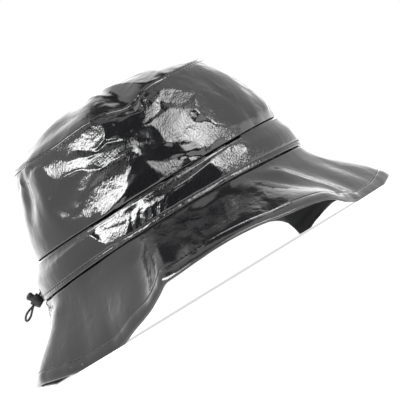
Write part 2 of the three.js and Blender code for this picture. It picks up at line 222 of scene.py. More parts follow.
def columnCurve(rows, along, column, turn=None):
    # A cubic between the rows of a table. Its slope at a row is the harmonic mean of the slopes on
    # both sides, so that it never swings past the values. turn closes it on itself.
    x = np.array([row[along] for row in rows], float)
    y = np.array([row[column] for row in rows], float)
    if turn:
        x = np.concatenate([x[-2:] - turn, x, x[:2] + turn])
        y = np.concatenate([y[-2:], y, y[:2]])
    rise = np.diff(y) / np.diff(x)
    same = rise[:-1] * rise[1:] > 0
    total = np.where(same, rise[:-1] + rise[1:], 1)
    slope = np.concatenate([rise[:1], np.where(same, 2 * rise[:-1] * rise[1:] / total, 0), rise[-1:]])

    def curve(value):
        # The cubic over the step that the value falls in.
        at = np.mod(value, turn) if turn else np.asarray(value, float)
        i = np.clip(np.searchsorted(x, at, side="right") - 1, 0, len(x) - 2)
        width = x[i + 1] - x[i]
        return cubic((at - x[i]) / width, y[i], y[i + 1], width * slope[i], width * slope[i + 1])

    return curve


# Materials

def fromHex(colour):
    # sRGB to linear: near black each share over 12.92, else it plus 0.055, over 1.055, to the power 2.4.
    parts = [int(colour[i:i + 2], 16) / 255 for i in (1, 3, 5)]
    return (*[p / 12.92 if p <= 0.04045 else ((p + 0.055) / 1.055) ** 2.4 for p in parts], 1.0)


def addNode(tree, kind, settings=None, links=None):
    # settings name sockets or properties. links name a socket and the output that feeds it.
    node = tree.nodes.new(kind)
    for name, value in (settings or {}).items():
        if isinstance(name, int) or name in node.inputs:
            node.inputs[name].default_value = value
        else:
            setattr(node, name, value)
    for name, output in (links or {}).items():
        tree.links.new(output, node.inputs[name])
    return node


def newMaterial(name):
    # A material with an empty node tree.
    material = bpy.data.materials.new(name)
    material.use_nodes = True
    material.node_tree.nodes.clear()
    return material, material.node_tree


def finishMaterial(tree, shader):
    # The shader goes to the material's surface.
    addNode(tree, "ShaderNodeOutputMaterial", links={"Surface": shader.outputs[0]})


wetLook = {
    "colour": "#121214",
    "wornColour": "#1c1c1f",
    "roughness": 0.16,
    "wornRoughness": 0.36,
    "coatRoughness": 0.05,
    "grain": 1.1,             # millimetres between the bumps that the weave prints through the film
    "grainDepth": 0.27,
    "fibreLength": 2.2,       # the bumps are this much longer along the threads, which lean on the bias
    "fibreLean": 31,
    "crease": 7.0,            # millimetres between fine creases
    "creaseDepth": 0.35,
    "patch": 26,              # millimetres between patches where the weave prints through more
    "betweenPatches": 0.4,    # the bumps' strength there
}


def makeWetLookCloth():
    # Polyurethane film on woven polyester, calendered to a high gloss. It is black with a mirror over
    # it: the mirror stays whole on wide fields and breaks into specks where the weave prints through.
    s = wetLook
    material, tree = newMaterial("polyurethaneCoatedCloth")
    place = addNode(tree, "ShaderNodeTexCoord").outputs["Object"]
    alongFibres = addNode(tree, "ShaderNodeMapping", {
        "vector_type": "TEXTURE", "Rotation": (0, math.radians(s["fibreLean"]), 0),
        "Scale": (1, 1, s["fibreLength"]),
    }, {"Vector": place}).outputs["Vector"]
    grain = addNode(tree, "ShaderNodeTexNoise", {
        "Scale": 1 / (s["grain"] * mm), "Detail": 2.0, "Roughness": 0.55,
    }, {"Vector": alongFibres})
    crease = addNode(tree, "ShaderNodeTexNoise", {
        "Scale": 1 / (s["crease"] * mm), "Detail": 1.5, "Roughness": 0.45, "Distortion": 0.4,
    }, {"Vector": place})
    patches = addNode(tree, "ShaderNodeTexNoise", {
        "Scale": 1 / (s["patch"] * mm), "Detail": 2.0, "Roughness": 0.5,
    }, {"Vector": place})
    strong = addNode(tree, "ShaderNodeMapRange", {
        "From Min": 0.42, "From Max": 0.62, "To Min": s["betweenPatches"], "To Max": 1.0,
    }, {"Value": patches.outputs["Fac"]})
    crinkles = addNode(tree, "ShaderNodeAttribute", {"attribute_name": "crinkled"})
    strength = addNode(tree, "ShaderNodeMath", {"operation": "MULTIPLY"}, {
        0: strong.outputs["Result"], 1: crinkles.outputs["Fac"],
    })
    grainBump = addNode(tree, "ShaderNodeBump", {"Distance": s["grainDepth"] * mm}, {
        "Height": grain.outputs["Fac"], "Strength": strength.outputs[0],
    })
    creaseBump = addNode(tree, "ShaderNodeBump", {"Strength": 0.8, "Distance": s["creaseDepth"] * mm}, {
        "Height": crease.outputs["Fac"], "Normal": grainBump.outputs["Normal"],
    })
    wear = addNode(tree, "ShaderNodeAttribute", {"attribute_name": "wear"})
    colour = addNode(tree, "ShaderNodeMix", {
        "data_type": "RGBA", 6: fromHex(s["colour"]), 7: fromHex(s["wornColour"]),
    }, {0: wear.outputs["Fac"]})
    rough = addNode(tree, "ShaderNodeMapRange", {
        "To Min": s["roughness"], "To Max": s["wornRoughness"],
    }, {"Value": wear.outputs["Fac"]})
    shader = addNode(tree, "ShaderNodeBsdfPrincipled", {
        "IOR": 1.5, "Coat Weight": 1.0, "Coat Roughness": s["coatRoughness"], "Coat IOR": 1.5,
    }, {
        "Base Color": colour.outputs[2], "Roughness": rough.outputs["Result"],
        "Normal": creaseBump.outputs["Normal"], "Coat Normal": creaseBump.outputs["Normal"],
    })
    finishMaterial(tree, shader)
    return material


backing = {
    "colour": "#2b2d2c",
    "thread": 0.9,            # millimetres from thread to thread, twice the real one so that it shows
    "threadDepth": 0.12,
    "bandRepeat": 0.3142,     # the wave texture repeats after this length over its scale
}


def makeBackingCloth():
    # The cloth's bare back: plain-woven spun polyester, dull, with a faint lustre at grazing angles.
    s = backing
    material, tree = newMaterial("wovenPolyesterBacking")
    surface = addNode(tree, "ShaderNodeUVMap", {"uv_map": "surface"}).outputs["UV"]
    weave = []
    for direction in ("X", "Y"):
        weave.append(addNode(tree, "ShaderNodeTexWave", {
            "wave_type": "BANDS", "bands_direction": direction, "wave_profile": "SIN",
            "Scale": s["bandRepeat"] / (s["thread"] * mm),
            "Distortion": 0.6, "Detail": 1.0, "Detail Scale": 0.3,
        }, {"Vector": surface}).outputs["Fac"])
    threads = addNode(tree, "ShaderNodeMath", {"operation": "MULTIPLY"}, {0: weave[0], 1: weave[1]})
    relief = addNode(tree, "ShaderNodeBump", {"Strength": 0.6, "Distance": s["threadDepth"] * mm}, {
        "Height": threads.outputs[0],
    })
    shade = addNode(tree, "ShaderNodeMapRange", {"To Min": 0.55, "To Max": 1.15}, {
        "Value": threads.outputs[0],
    })
    colour = addNode(tree, "ShaderNodeMix", {
        "data_type": "RGBA", "blend_type": "MULTIPLY", 0: 1.0, 6: fromHex(s["colour"]),
    }, {7: shade.outputs["Result"]})
    shader = addNode(tree, "ShaderNodeBsdfPrincipled", {
        "Roughness": 0.92, "Sheen Weight": 0.25, "Sheen Roughness": 0.4,
        "Sheen Tint": fromHex("#8b8f8f"),
    }, {"Base Color": colour.outputs[2], "Normal": relief.outputs["Normal"]})
    finishMaterial(tree, shader)
    return material


# the lighter colour of the thread is a painted sheen on its twist
sewingThread = {"shade": "#1b1b1d", "paintedSheen": "#4a4a4d", "twist": 1.6, "twistDepth": 0.05}


def makeThread():
    # Bonded polyester sewing thread: a tight twist, black, with a painted sheen: a soft grey lustre mixed into its
    # colour along the twist's bands.
    s = sewingThread
    material, tree = newMaterial("bondedPolyesterThread")
    surface = addNode(tree, "ShaderNodeUVMap", {"uv_map": "surface"}).outputs["UV"]
    twist = addNode(tree, "ShaderNodeTexWave", {
        "wave_type": "BANDS", "bands_direction": "DIAGONAL", "Scale": s["twist"], "Distortion": 0.3,
    }, {"Vector": surface})
    relief = addNode(tree, "ShaderNodeBump", {"Strength": 0.5, "Distance": s["twistDepth"] * mm}, {
        "Height": twist.outputs["Fac"],
    })
    # Painted sheen: the colour goes from the black to the grey lustre along the twist's bands.
    colour = addNode(tree, "ShaderNodeMix", {
        "data_type": "RGBA", 6: fromHex(s["shade"]), 7: fromHex(s["paintedSheen"]),
    }, {0: twist.outputs["Fac"]})
    shader = addNode(tree, "ShaderNodeBsdfPrincipled", {
        "Roughness": 0.5, "Sheen Weight": 0.2, "Sheen Roughness": 0.35,
    }, {"Base Color": colour.outputs[2], "Normal": relief.outputs["Normal"]})
    finishMaterial(tree, shader)
    return material


lockPlastic = {
    "colour": "#19191b",
    "dullColour": "#2e2e31",
    "roughness": (0.28, 0.55),    # in the handling marks and between them
    "erosion": 0.7,               # millimetres between the bumps of the eroded tool
    "erosionDepth": 0.08,
    "marks": 3,                   # millimetres between handling marks
}


def makeLockPlastic():
    # Black acetal, moulded in a finely eroded tool: satin, with handling marks that are a little shinier.
    s = lockPlastic
    material, tree = newMaterial("mouldedAcetal")
    place = addNode(tree, "ShaderNodeTexCoord").outputs["Object"]
    erosion = addNode(tree, "ShaderNodeTexNoise", {"Scale": 1 / (s["erosion"] * mm), "Detail": 3.0}, {
        "Vector": place,
    })
    marks = addNode(tree, "ShaderNodeTexNoise", {"Scale": 1 / (s["marks"] * mm), "Detail": 2.0}, {
        "Vector": place,
    })
    relief = addNode(tree, "ShaderNodeBump", {"Strength": 0.7, "Distance": s["erosionDepth"] * mm}, {
        "Height": erosion.outputs["Fac"],
    })
    rough = addNode(tree, "ShaderNodeMapRange", {
        "To Min": s["roughness"][0], "To Max": s["roughness"][1],
    }, {"Value": marks.outputs["Fac"]})
    colour = addNode(tree, "ShaderNodeMix", {
        "data_type": "RGBA", 6: fromHex(s["colour"]), 7: fromHex(s["dullColour"]),
    }, {0: marks.outputs["Fac"]})
    shader = addNode(tree, "ShaderNodeBsdfPrincipled", {"IOR": 1.48}, {
        "Base Color": colour.outputs[2], "Roughness": rough.outputs["Result"],
        "Normal": relief.outputs["Normal"],
    })
    finishMaterial(tree, shader)
    return material


# the lighter colour of the cord is a painted highlight on the braid strands' crowns
braidedCord = {"shade": "#0c0c0d", "paintedCrownHighlight": "#343437", "strands": 1.4, "slant": 45, "braidDepth": 0.12}


def makeElasticCord():
    # Polyester braid over rubber: two sets of strands cross at a slant, dull, with a painted highlight: a lighter
    # colour mixed in on the strands' crowns.
    s = braidedCord
    material, tree = newMaterial("braidedElasticCord")
    surface = addNode(tree, "ShaderNodeUVMap", {"uv_map": "surface"}).outputs["UV"]
    strands = []
    for slant in (s["slant"], -s["slant"]):
        turned = addNode(tree, "ShaderNodeMapping", {"Rotation": (0, 0, math.radians(slant))}, {
            "Vector": surface,
        })
        strands.append(addNode(tree, "ShaderNodeTexWave", {
            "wave_type": "BANDS", "bands_direction": "X", "Scale": s["strands"],
        }, {"Vector": turned.outputs["Vector"]}).outputs["Fac"])
    braid = addNode(tree, "ShaderNodeMath", {"operation": "MAXIMUM"}, {0: strands[0], 1: strands[1]})
    relief = addNode(tree, "ShaderNodeBump", {"Strength": 0.8, "Distance": s["braidDepth"] * mm}, {
        "Height": braid.outputs[0],
    })
    # Painted highlight: the strands' crowns get the lighter colour, the black lies between them.
    colour = addNode(tree, "ShaderNodeMix", {
        "data_type": "RGBA", 6: fromHex(s["shade"]), 7: fromHex(s["paintedCrownHighlight"]),
    }, {0: braid.outputs[0]})
    shader = addNode(tree, "ShaderNodeBsdfPrincipled", {
        "Roughness": 0.6, "Sheen Weight": 0.3, "Sheen Roughness": 0.4,
    }, {"Base Color": colour.outputs[2], "Normal": relief.outputs["Normal"]})
    finishMaterial(tree, shader)
    return material


wetLookCloth = makeWetLookCloth()
backingCloth = makeBackingCloth()
threadFinish = makeThread()
lockFinish = makeLockPlastic()
cordFinish = makeElasticCord()
print("materials made")


# Cord and lock

lock = {
    "centre": (-109.3, 11, 57.3),   # where the cord crosses the lock's axis
    "lean": 30,                     # degrees that the axis leans out from the upright
    "pressTravel": 1.6,
    "clearance": 0.3,
    "barrelRadius": 4.4, "bore": 2.9, "barrelTop": 2.6, "boreFloor": -3.95, "barrelBottom": -4.75,
    "barrelFoot": 3.2, "footRound": 0.6, "footBulge": 0.5,
    # the flank over the foot: how far inside the radius, and the height
    "barrelFlank": [(0.35, -2.4), (0.08, -1.4), (0, -0.4)],
    "rimRound": 0.45, "boreRound": 0.25,
    "stemRadius": 2.6, "stemBottom": -2.05, "stemBevel": 0.2,
    "buttonRadius": 2.9, "buttonHeight": 2.8, "buttonDome": 1.5, "buttonRound": 0.3, "buttonLip": 0.05,
    "slotPoints": 28,               # round both ends of the tunnel
    "sharpAngle": 40,               # degrees from which an edge shows as an edge
    "sides": 48,
}

drawCord = {
    "diameter": 1.5,
    "sides": 14,
    "pointsAcross": 12,             # points of the smooth line between two points of the route
    "braidTurn": 2.4,               # millimetres of cord for one repeat of the braid
    # out is the way along the tunnel, aside is across the two strands, drop is down the lock's axis
    "route": tableOf(
        "out aside drop",
        (-6.8, -0.95, 0), (-3, -0.95, 0), (0, -0.95, 0), (3.8, -0.95, 0), (6.4, -1.5, 0.45),
        (9.1, -2.8, 1.1), (11.8, -3.55, 1.75), (14.3, -2.95, 1.75), (15.8, -1.15, 1.25), (15.8, 1.15, 0.4),
        (14.3, 2.95, -0.45), (11.8, 3.55, -1.05), (9.1, 2.8, -0.9), (6.4, 1.5, -0.4), (3.8, 0.95, 0),
        (0, 0.95, 0), (-3, 0.95, 0), (-6.8, 0.95, 0),
    ),
}


def fromLock(points):
    # From the lock's own frame, out along its tunnel and up its axis, to the hat's.
    lean = math.radians(lock["lean"])
    axes = np.array([
        [-math.cos(lean), 0, -math.sin(lean)],
        [0, -1, 0],
        [-math.sin(lean), 0, math.cos(lean)],
    ])
    return np.asarray(points, float) @ axes + np.array(lock["centre"])


def smoothLine(points, across):
    # A smooth line through the points: a cubic between each two. Its slope at a point is that of the
    # parabola through the point and its neighbours, each step taking the square root of its length.
    ends = np.concatenate([[2 * points[0] - points[1]], points, [2 * points[-1] - points[-2]]])
    time = np.sqrt(np.linalg.norm(np.diff(ends, axis=0), axis=1))[:, None]
    before, here, after, beyond = ends[:-3], ends[1:-2], ends[2:-1], ends[3:]
    t0, t1, t2 = time[:-2], time[1:-1], time[2:]
    first = ((here - before) / t0 - (after - before) / (t0 + t1) + (after - here) / t1) * t1
    second = ((after - here) / t1 - (beyond - here) / (t1 + t2) + (beyond - after) / t2) * t1
    u = np.linspace(0, 1, across, endpoint=False)[None, :, None]
    line = cubic(u, here[:, None], after[:, None], first[:, None], second[:, None])
    return np.concatenate([line.reshape(-1, 3), points[-1:]])


def makeDrawCord():
    # A circle carried along the route: the line, plus the radius times the cosine aside and the sine
    # upwards. The lock's upright way keeps it from turning.
    s = drawCord
    route = fromLock([(r["out"], r["aside"], -r["drop"]) for r in s["route"]])
    line = smoothLine(route, s["pointsAcross"])
    ahead = unit(np.gradient(line, axis=0))
    upright = fromLock([(0, 0, 1)])[0] - fromLock([(0, 0, 0)])[0]
    side = unit(np.cross(ahead, upright))
    above = np.cross(side, ahead)
    turn = np.linspace(0, 2 * np.pi, s["sides"] + 1)[None, :, None]
    reach = np.cumsum(np.concatenate([[0], np.linalg.norm(np.diff(line, axis=0), axis=1)]))
    tube = line[:, None] + s["diameter"] / 2 * (
        np.cos(turn) * side[:, None] + np.sin(turn) * above[:, None]
    )
    rows = len(line)
    sides = s["sides"]
    points = np.concatenate([tube[:, :-1].reshape(-1, 3), line[:1], line[-1:]])
    faces = gridFaces(0, rows, sides)
    faces += fanFaces(0, sides, rows * sides, flip=True)
    faces += fanFaces((rows - 1) * sides, sides, rows * sides + 1)
    along = reach[:, None] / s["braidTurn"]
    share = np.linspace(0, 2, sides, endpoint=False)[None]
    uv = np.stack(np.broadcast_arrays(along, share), -1).reshape(-1, 2)
    uv = np.concatenate([uv, [[0, 0], [0, 0]]])
    piece = makePiece("elastic_draw_cord", points, faces, "hat", uv, finishes=[cordFinish])
    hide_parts("draw_cord")
    path = ((line + hatShift) * mm).tolist()
    return piece, path, float(reach[-1] * mm)


def turned(profile):
    # A round body about the lock's axis: pairs of radius and height from pole to pole, the radius times
    # the cosine and the sine of the turn.
    sides = lock["sides"]
    profile = np.array(profile, float)
    turn = np.linspace(0, 2 * np.pi, sides, endpoint=False)
    ring = profile[1:-1]
    points = np.stack([
        ring[:, :1] * np.cos(turn), ring[:, :1] * np.sin(turn), np.repeat(ring[:, 1:], sides, 1),
    ], -1).reshape(-1, 3)
    poles = [(0, 0, profile[0, 1]), (0, 0, profile[-1, 1])]
    count = len(points)
    faces = gridFaces(0, len(ring), sides)
    faces += fanFaces(0, sides, count, flip=True)
    faces += fanFaces(count - sides, sides, count + 1)
    return fromLock(np.concatenate([points, poles])), faces


def arc(centre, radius, fromDegrees, toDegrees, count=6):
    # Points of a circle: its centre, plus the radius times the cosine and the sine.
    turn = np.radians(np.linspace(fromDegrees, toDegrees, count))
    return [(centre[0] + radius * math.cos(t), centre[1] + radius * math.sin(t)) for t in turn]


def cutTunnel(piece, below, above):
    # Cuts the cord's tunnel through a piece: a slot with round ends, wide enough for both strands. Its
    # lower and upper halves are stretched to reach so far below and above the strands' middle.
    strand = drawCord["diameter"] / 2 + lock["clearance"]
    reach = drawCord["route"][-1]["aside"]
    half = lock["slotPoints"] // 2
    turn = np.linspace(-np.pi / 2, np.pi / 2, half)
    outline = np.concatenate([
        np.stack([reach + strand * np.cos(turn), strand * np.sin(turn)], -1),
        np.stack([-reach - strand * np.cos(turn), -strand * np.sin(turn)], -1),
    ])
    outline[:, 1] *= np.where(outline[:, 1] > 0, above, below) / strand
    length = 3 * lock["barrelRadius"]
    ends = [np.column_stack([np.full(len(outline), x), outline]) for x in (-length, length)]
    count = len(outline)
    mesh = bpy.data.meshes.new("tunnel")
    faces = gridFaces(0, 2, count) + [list(range(count))[::-1], list(range(count, 2 * count))]
    mesh.from_pydata(((fromLock(np.concatenate(ends)) + hatShift) * mm).tolist(), [], faces)
    cutter = bpy.data.objects.new("tunnel", mesh)
    bpy.context.scene.collection.objects.link(cutter)
    cut = piece.modifiers.new("tunnel", "BOOLEAN")
    cut.operation = "DIFFERENCE"
    cut.solver = "EXACT"
    cut.object = cutter
    depsgraph = bpy.context.evaluated_depsgraph_get()
    made = bpy.data.meshes.new_from_object(piece.evaluated_get(depsgraph))
    piece.modifiers.clear()
    piece.data = made
    made.shade_smooth()
    made.set_sharp_from_angle(angle=math.radians(lock["sharpAngle"]))
    bpy.data.objects.remove(cutter)


def makeLock():
    # The barrel and the button are turned profiles with rounded edges, and the tunnel goes through both.
    # In the button it is higher by the press travel, so that the strands stay where they are.
    s = lock
    foot = s["barrelFoot"] - s["footRound"]
    rim = s["rimRound"]
    lip = s["boreRound"]
    barrelProfile = [
        (0, s["barrelBottom"]),
        (foot, s["barrelBottom"]),
        *arc((foot + s["footBulge"], s["barrelBottom"] + s["footRound"]), s["footRound"], -90, -25),
        *[(s["barrelRadius"] - inside, height) for inside, height in s["barrelFlank"]],
        *arc((s["barrelRadius"] - rim, s["barrelTop"] - rim), rim, 0, 90),
        *arc((s["bore"] + lip, s["barrelTop"] - lip), lip, 90, 180, 4),
        (s["bore"], s["boreFloor"]),
        (0, s["boreFloor"]),
    ]
    points, faces = turned(barrelProfile)
    barrel = makePiece("lock_barrel", points, faces, "hat", finishes=[lockFinish])
    slotReach = drawCord["diameter"] / 2 + s["clearance"]
    cutTunnel(barrel, slotReach, slotReach)
    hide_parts("cord_lock_barrel")

    low = s["barrelTop"] + s["pressTravel"] + s["clearance"]
    high = low + s["buttonHeight"]
    dome = s["buttonDome"]
    edge = s["buttonRound"]
    buttonProfile = [
        (0, s["stemBottom"]),
        (s["stemRadius"] - s["stemBevel"], s["stemBottom"]),
        (s["stemRadius"], s["stemBottom"] + s["stemBevel"]),
        (s["stemRadius"], low - s["buttonLip"]),
        *arc((s["buttonRadius"] - edge, low + edge), edge, -60, 0, 4),
        (s["buttonRadius"], high - dome),
        *[(s["buttonRadius"] * x, high - dome + dome * y) for x, y in arc((0, 0), 1, 12, 84, 7)],
        (0, high),
    ]
    points, faces = turned(buttonProfile)
    button = makePiece("lock_button", points, faces, "lock_plunger", finishes=[lockFinish])
    cutTunnel(button, slotReach, slotReach + s["pressTravel"])
    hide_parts("cord_lock_plunger")
    return barrel, button


cordPiece, cordPath, cordLength = makeDrawCord()
barrelPiece, buttonPiece = makeLock()
print("cord and lock made, the cord is", round(cordLength / mm, 1), "mm long")


# Crown

# Windows of directions, in degrees round and up from the hat, that flat fields of the cloth mirror: the
# bar lamp, the box lamp, the black screens, and the pale walls beside these. crushed says how much of the
# film's fine bumps such a field has, where 1 is as many as the cloth round it.
windows = {
    "bar": {"round": (-53, -26), "up": (36, 40), "crushed": 1.3},
    "overBar": {"round": (-170, -20), "up": (54, 75)},
    "underBar": {"round": (-170, -34), "up": (0, 22)},
    "box": {"round": (28, 54), "up": (28, 40), "crushed": 1.9},
    "boxEdge": {"round": (50, 57), "up": (37, 42)},
    "boxLow": {"round": (46, 58), "up": (12, 24), "crushed": 1.6},
    "overBox": {"round": (60, 110), "up": (53, 70)},
    "underBox": {"round": (30, 64), "up": (-4, 3)},
    "besideBox": {"round": (84, 130), "up": (-20, 60)},
    "black": {"round": (-12, 10), "up": (3, 40), "crushed": 0.2},
    "bandBlack": {"round": (-12, 26), "up": (1, 8), "crushed": 0.3},
}

cloth = {
    "wall": 1.3,
    "hemWall": 2.2,
    "hemWidth": 7.5,
    "brimFall": 62,           # from band to edge, down the slope
    "bandOverlap": 0.9,
    "gap": 0.3,
    "bandLayers": 1.95,       # how far the crown lies inside the band's outer face
    "seamPitch": 3.3,         # from stitch to stitch
    "seamSide": 1.9,          # from the seam to the stitches beside it
    "handledAt": 275,         # degrees round of the near side, where the film is crushed most
    "handledWidth": 40,
    "leastCrushed": 0.2,      # the share of the fine bumps on the far side
    "inFields": 0.12,         # the share of the creases that stays in the flat fields
}

crown = {
    "columns": 560,
    "insideColumns": 140,
    "bandTop": 2,
    "tip": 7,
    "ringLength": 13,         # millimetres of cloth from ring to ring
    "meanRadius": 86,
    "topRise": 17.5,
    "topFullness": 2.7,
    "topColumns": 400,
    "insideTopColumns": 100,
    "topRadius": 83,
    "topCrushed": 0.17,
    "bulge": 0.35,            # of the cloth just over the band
    "groove": 1.25,           # depth of the dark gap between band and side
    "innerFold": 0.9,         # how far the inner wall steps back behind it
    "rings": tableOf(
        "ring back front side height raise oval",
        (0, -104.5, 104.2, 86, 53.8, 4.5, 2.0), (1, -102.4, 103.2, 84.5, 66, 2.5, 2.0),
        (2, -96.4, 100, 81.5, 76.6, 0.8, 2.0), (3, -94.4, 98.6, 80.5, 90, 0, 2.05),
        (4, -90.8, 95.2, 77.5, 104, 0, 2.1), (5, -86, 90.3, 73.5, 116, 0, 2.1),
        (6, -81.5, 83, 68, 128, 0, 2.15), (7, -76, 75, 61.5, 139, 0, 2.15),
    ),
    # where the seam of the top sags
    "sags": tableOf(
        "at width drop",
        (281, 9, 5), (236, 14, 1.6), (120, 16, 2.4), (40, 12, 1.8),
    ),
    # soft dents of the side: half length along and across, depth, and lean from level
    "dents": tableOf(
        "at height along across lean depth",
        (282, 134, 15, 9, 8, 4.6), (258, 117, 30, 7, 14, 3), (244, 100, 22, 7, 22, -2),
        (278, 108, 18, 8, 30, 3), (296, 96, 20, 8, 12, 2.6), (308, 118, 16, 8, -10, -1.6),
        (222, 112, 8, 22, 10, -1.8), (205, 118, 9, 16, 0, 3.2), (168, 104, 24, 9, -10, 2.4),
        (130, 118, 22, 9, 12, 2.6), (98, 100, 26, 8, -8, 2.8), (66, 120, 18, 9, 15, 2.6),
        (34, 104, 20, 8, -12, 2.2), (350, 108, 16, 10, 6, 1.4),
    ),
    # dents of the top by their place over the floor
    "topDents": tableOf(
        "x y along across turn depth",
        (-10, -6, 30, 8, 82, 1.6), (16, -46, 17, 11, 8, 1.3), (-34, -38, 26, 7, -18, 0.8),
        (-36, -8, 24, 18, 0, -1.8), (34, 14, 26, 9, 24, 1.3), (-30, 34, 24, 9, 14, 1.4),
        (52, -20, 16, 8, 40, 1),
    ),
    # folds of the side on its unrolled wall, from one place to another
    "creases": tableOf(
        "at0 height0 at1 height1 width height",
        (232, 112, 262, 121, 4.5, 1.6), (262, 121, 287, 117, 4, 1.4), (270, 128, 292, 121, 3.5, -1.5),
        (248, 88, 266, 108, 5, 1.5), (280, 99, 303, 104, 3.5, 1.3), (283, 88, 310, 92, 4, -1.2),
        (198, 132, 214, 108, 3.5, 1.8), (186, 122, 204, 104, 4.5, -1.5), (130, 92, 160, 112, 5, 1.6),
        (70, 96, 104, 116, 5, 1.5), (20, 92, 48, 112, 5, 1.4),
    ),
    # folds of the top from one place over the floor to another
    "topFolds": tableOf(
        "x y toX toY width height",
        (28, -59, -6, -24, 4.5, 0.8), (39, -58, 6, -18, 4.2, 0.8), (50, -52, 40, -22, 4, 0.5),
    ),
    # nearly flat fields: corners in the picture's pixels, and the window that they mirror
    "fields": [
        {"corners": [(18, 190), (30, 172), (42, 166), (52, 187), (58, 196), (70, 203), (82, 212), (90, 226),
         (88, 232), (60, 262), (20, 285)], "mirrors": "underBar", "firm": 1.5},
        {"corners": [(90, 226), (102, 218), (122, 206), (110, 222), (88, 234)], "mirrors": "underBar",
         "up": (0, 18)},
        {"corners": [(22, 168), (45, 148), (60, 137), (75, 127), (85, 120), (100, 116), (104, 122),
         (90, 124), (84, 128), (78, 136), (68, 146), (72, 151), (58, 158), (42, 164)],
         "mirrors": "overBar"},
        {"corners": [(72, 151), (97, 150), (106, 141), (132, 138), (151, 140), (125, 144), (107, 151),
         (87, 157), (66, 162), (52, 160), (45, 160)], "mirrors": "overBar"},
        {"corners": [(55, 187), (62, 178), (75, 173), (97, 168), (112, 161), (125, 155), (132, 150),
         (132, 155), (126, 165), (121, 174), (100, 181), (89, 187), (82, 198), (80, 212), (68, 204),
         (54, 192)], "mirrors": "underBar", "up": (0, 10), "firm": 5},
        {"corners": [(55, 197), (66, 199), (77, 203), (80, 209), (79, 216), (70, 218), (57, 212)],
         "mirrors": "underBar", "up": (0, 14), "firm": 4},
        {"corners": [(134, 152), (150, 148), (162, 144), (160, 134), (152, 126), (140, 134), (136, 144)],
         "mirrors": "black", "round": (-12, 4), "up": (8, 36), "firm": 7},
        {"corners": [(105, 125), (122, 122), (140, 115), (145, 112), (141, 127), (151, 125), (162, 137),
         (165, 143), (155, 140), (135, 138), (115, 137), (106, 140)], "mirrors": "black", "round": (-12, 6),
         "firm": 2},
        {"corners": [(140, 151), (155, 147), (164, 143), (199, 146), (200, 150), (175, 156), (147, 160),
         (154, 171), (159, 180), (170, 180), (165, 186), (145, 194), (125, 203), (126, 190), (126, 178),
         (135, 160)], "mirrors": "black", "up": (3, 30)},
        {"corners": [(165, 185), (170, 179), (190, 170), (201, 163), (210, 156), (215, 150), (205, 163),
         (185, 175)], "mirrors": "black", "up": (3, 20), "round": (-12, 34)},
        {"corners": [(200, 113), (194, 106), (199, 95), (216, 90), (240, 104), (254, 125), (252, 132),
         (243, 134), (238, 128), (215, 124)], "mirrors": "besideBox", "firm": 2},
        {"corners": [(160, 101), (177, 103), (192, 99), (200, 107), (187, 109), (162, 107)],
         "mirrors": "overBox"},
        {"corners": [(160, 91), (175, 87), (193, 90), (190, 98), (176, 102), (162, 100)],
         "mirrors": "boxEdge", "firm": 1.5},
        {"corners": [(70, 145), (80, 137), (86, 130), (90, 126), (101, 125), (104, 132), (102, 139),
         (96, 146), (87, 150), (80, 148), (77, 144)], "mirrors": "bar"},
        {"corners": [(43, 165), (52, 162), (66, 164), (87, 158), (107, 152), (125, 144), (135, 142),
         (156, 140), (155, 143), (140, 146), (126, 152), (111, 160), (95, 167), (74, 171), (61, 177),
         (52, 186), (51, 179), (45, 172)], "mirrors": "bar", "soft": 2},
        {"corners": [(134, 148), (140, 148), (135, 157), (129, 170), (124, 177), (121, 175), (127, 164),
         (132, 155)], "mirrors": "bar", "firm": 0.2},
        {"corners": [(86, 197), (90, 187), (101, 181), (115, 175), (123, 174), (126, 184), (125, 194),
         (119, 201), (112, 209), (102, 218), (99, 211), (95, 206), (93, 214), (90, 226), (83, 216),
         (82, 206)], "mirrors": "bar", "up": (37, 42), "firm": 4},
        {"corners": [(142, 101), (151, 105), (159, 107), (155, 115), (146, 125), (141, 127), (144, 117),
         (145, 110)], "mirrors": "box"},
        {"corners": [(155, 116), (162, 108), (187, 109), (196, 119), (215, 125), (237, 129), (243, 135),
         (227, 143), (224, 138), (219, 137), (212, 143), (209, 150), (200, 144), (190, 143), (176, 143),
         (165, 140), (160, 132), (154, 125)], "mirrors": "box", "soft": 2.5},
        {"corners": [(200, 144), (209, 150), (210, 155), (202, 161), (199, 160), (206, 154)],
         "mirrors": "box"},
        {"corners": [(147, 161), (165, 159), (175, 158), (180, 160), (195, 156), (203, 154), (200, 162),
         (191, 167), (180, 175), (166, 178), (160, 173), (154, 170)], "mirrors": "box", "up": (30, 40),
         "firm": 3},
        {"corners": [(179, 157), (190, 156), (192, 164), (185, 169), (179, 166)], "mirrors": "black",
         "round": (-12, 16)},
    ],
}

crownCurves = {
    name: columnCurve(crown["rings"], "ring", name)
    for name in ("back", "front", "side", "height", "raise", "oval")
}


def crownOval(ring, at):
    # A point of the crown's outer face: an oval round the head, whose power is 2 for an ellipse.
    cos = np.cos(np.radians(at))
    sin = np.sin(np.radians(at))
    c = {name: curve(ring) for name, curve in crownCurves.items()}
    bend = 2 / c["oval"]
    return np.stack([
        (c["front"] + c["back"]) / 2 + (c["front"] - c["back"]) / 2 * np.sign(cos) * np.abs(cos) ** bend,
        c["side"] * np.sign(sin) * np.abs(sin) ** bend + 0 * at,
        c["height"] + c["raise"] * sin**2,
    ], -1)


def outward(ring, at):
    # The level way out of the oval.
    half = (crownCurves["front"](ring) - crownCurves["back"](ring)) / 2
    way = np.stack([np.cos(np.radians(at)) / half, np.sin(np.radians(at)) / crownCurves["side"](ring)], -1)
    return unit(np.concatenate([way, np.zeros_like(way[..., :1])], -1))


def seamSag(at):
    # A sum of bells round the hat.
    return sum(sag["drop"] * bell(angleBetween(at, sag["at"]), sag["width"]) for sag in crown["sags"])


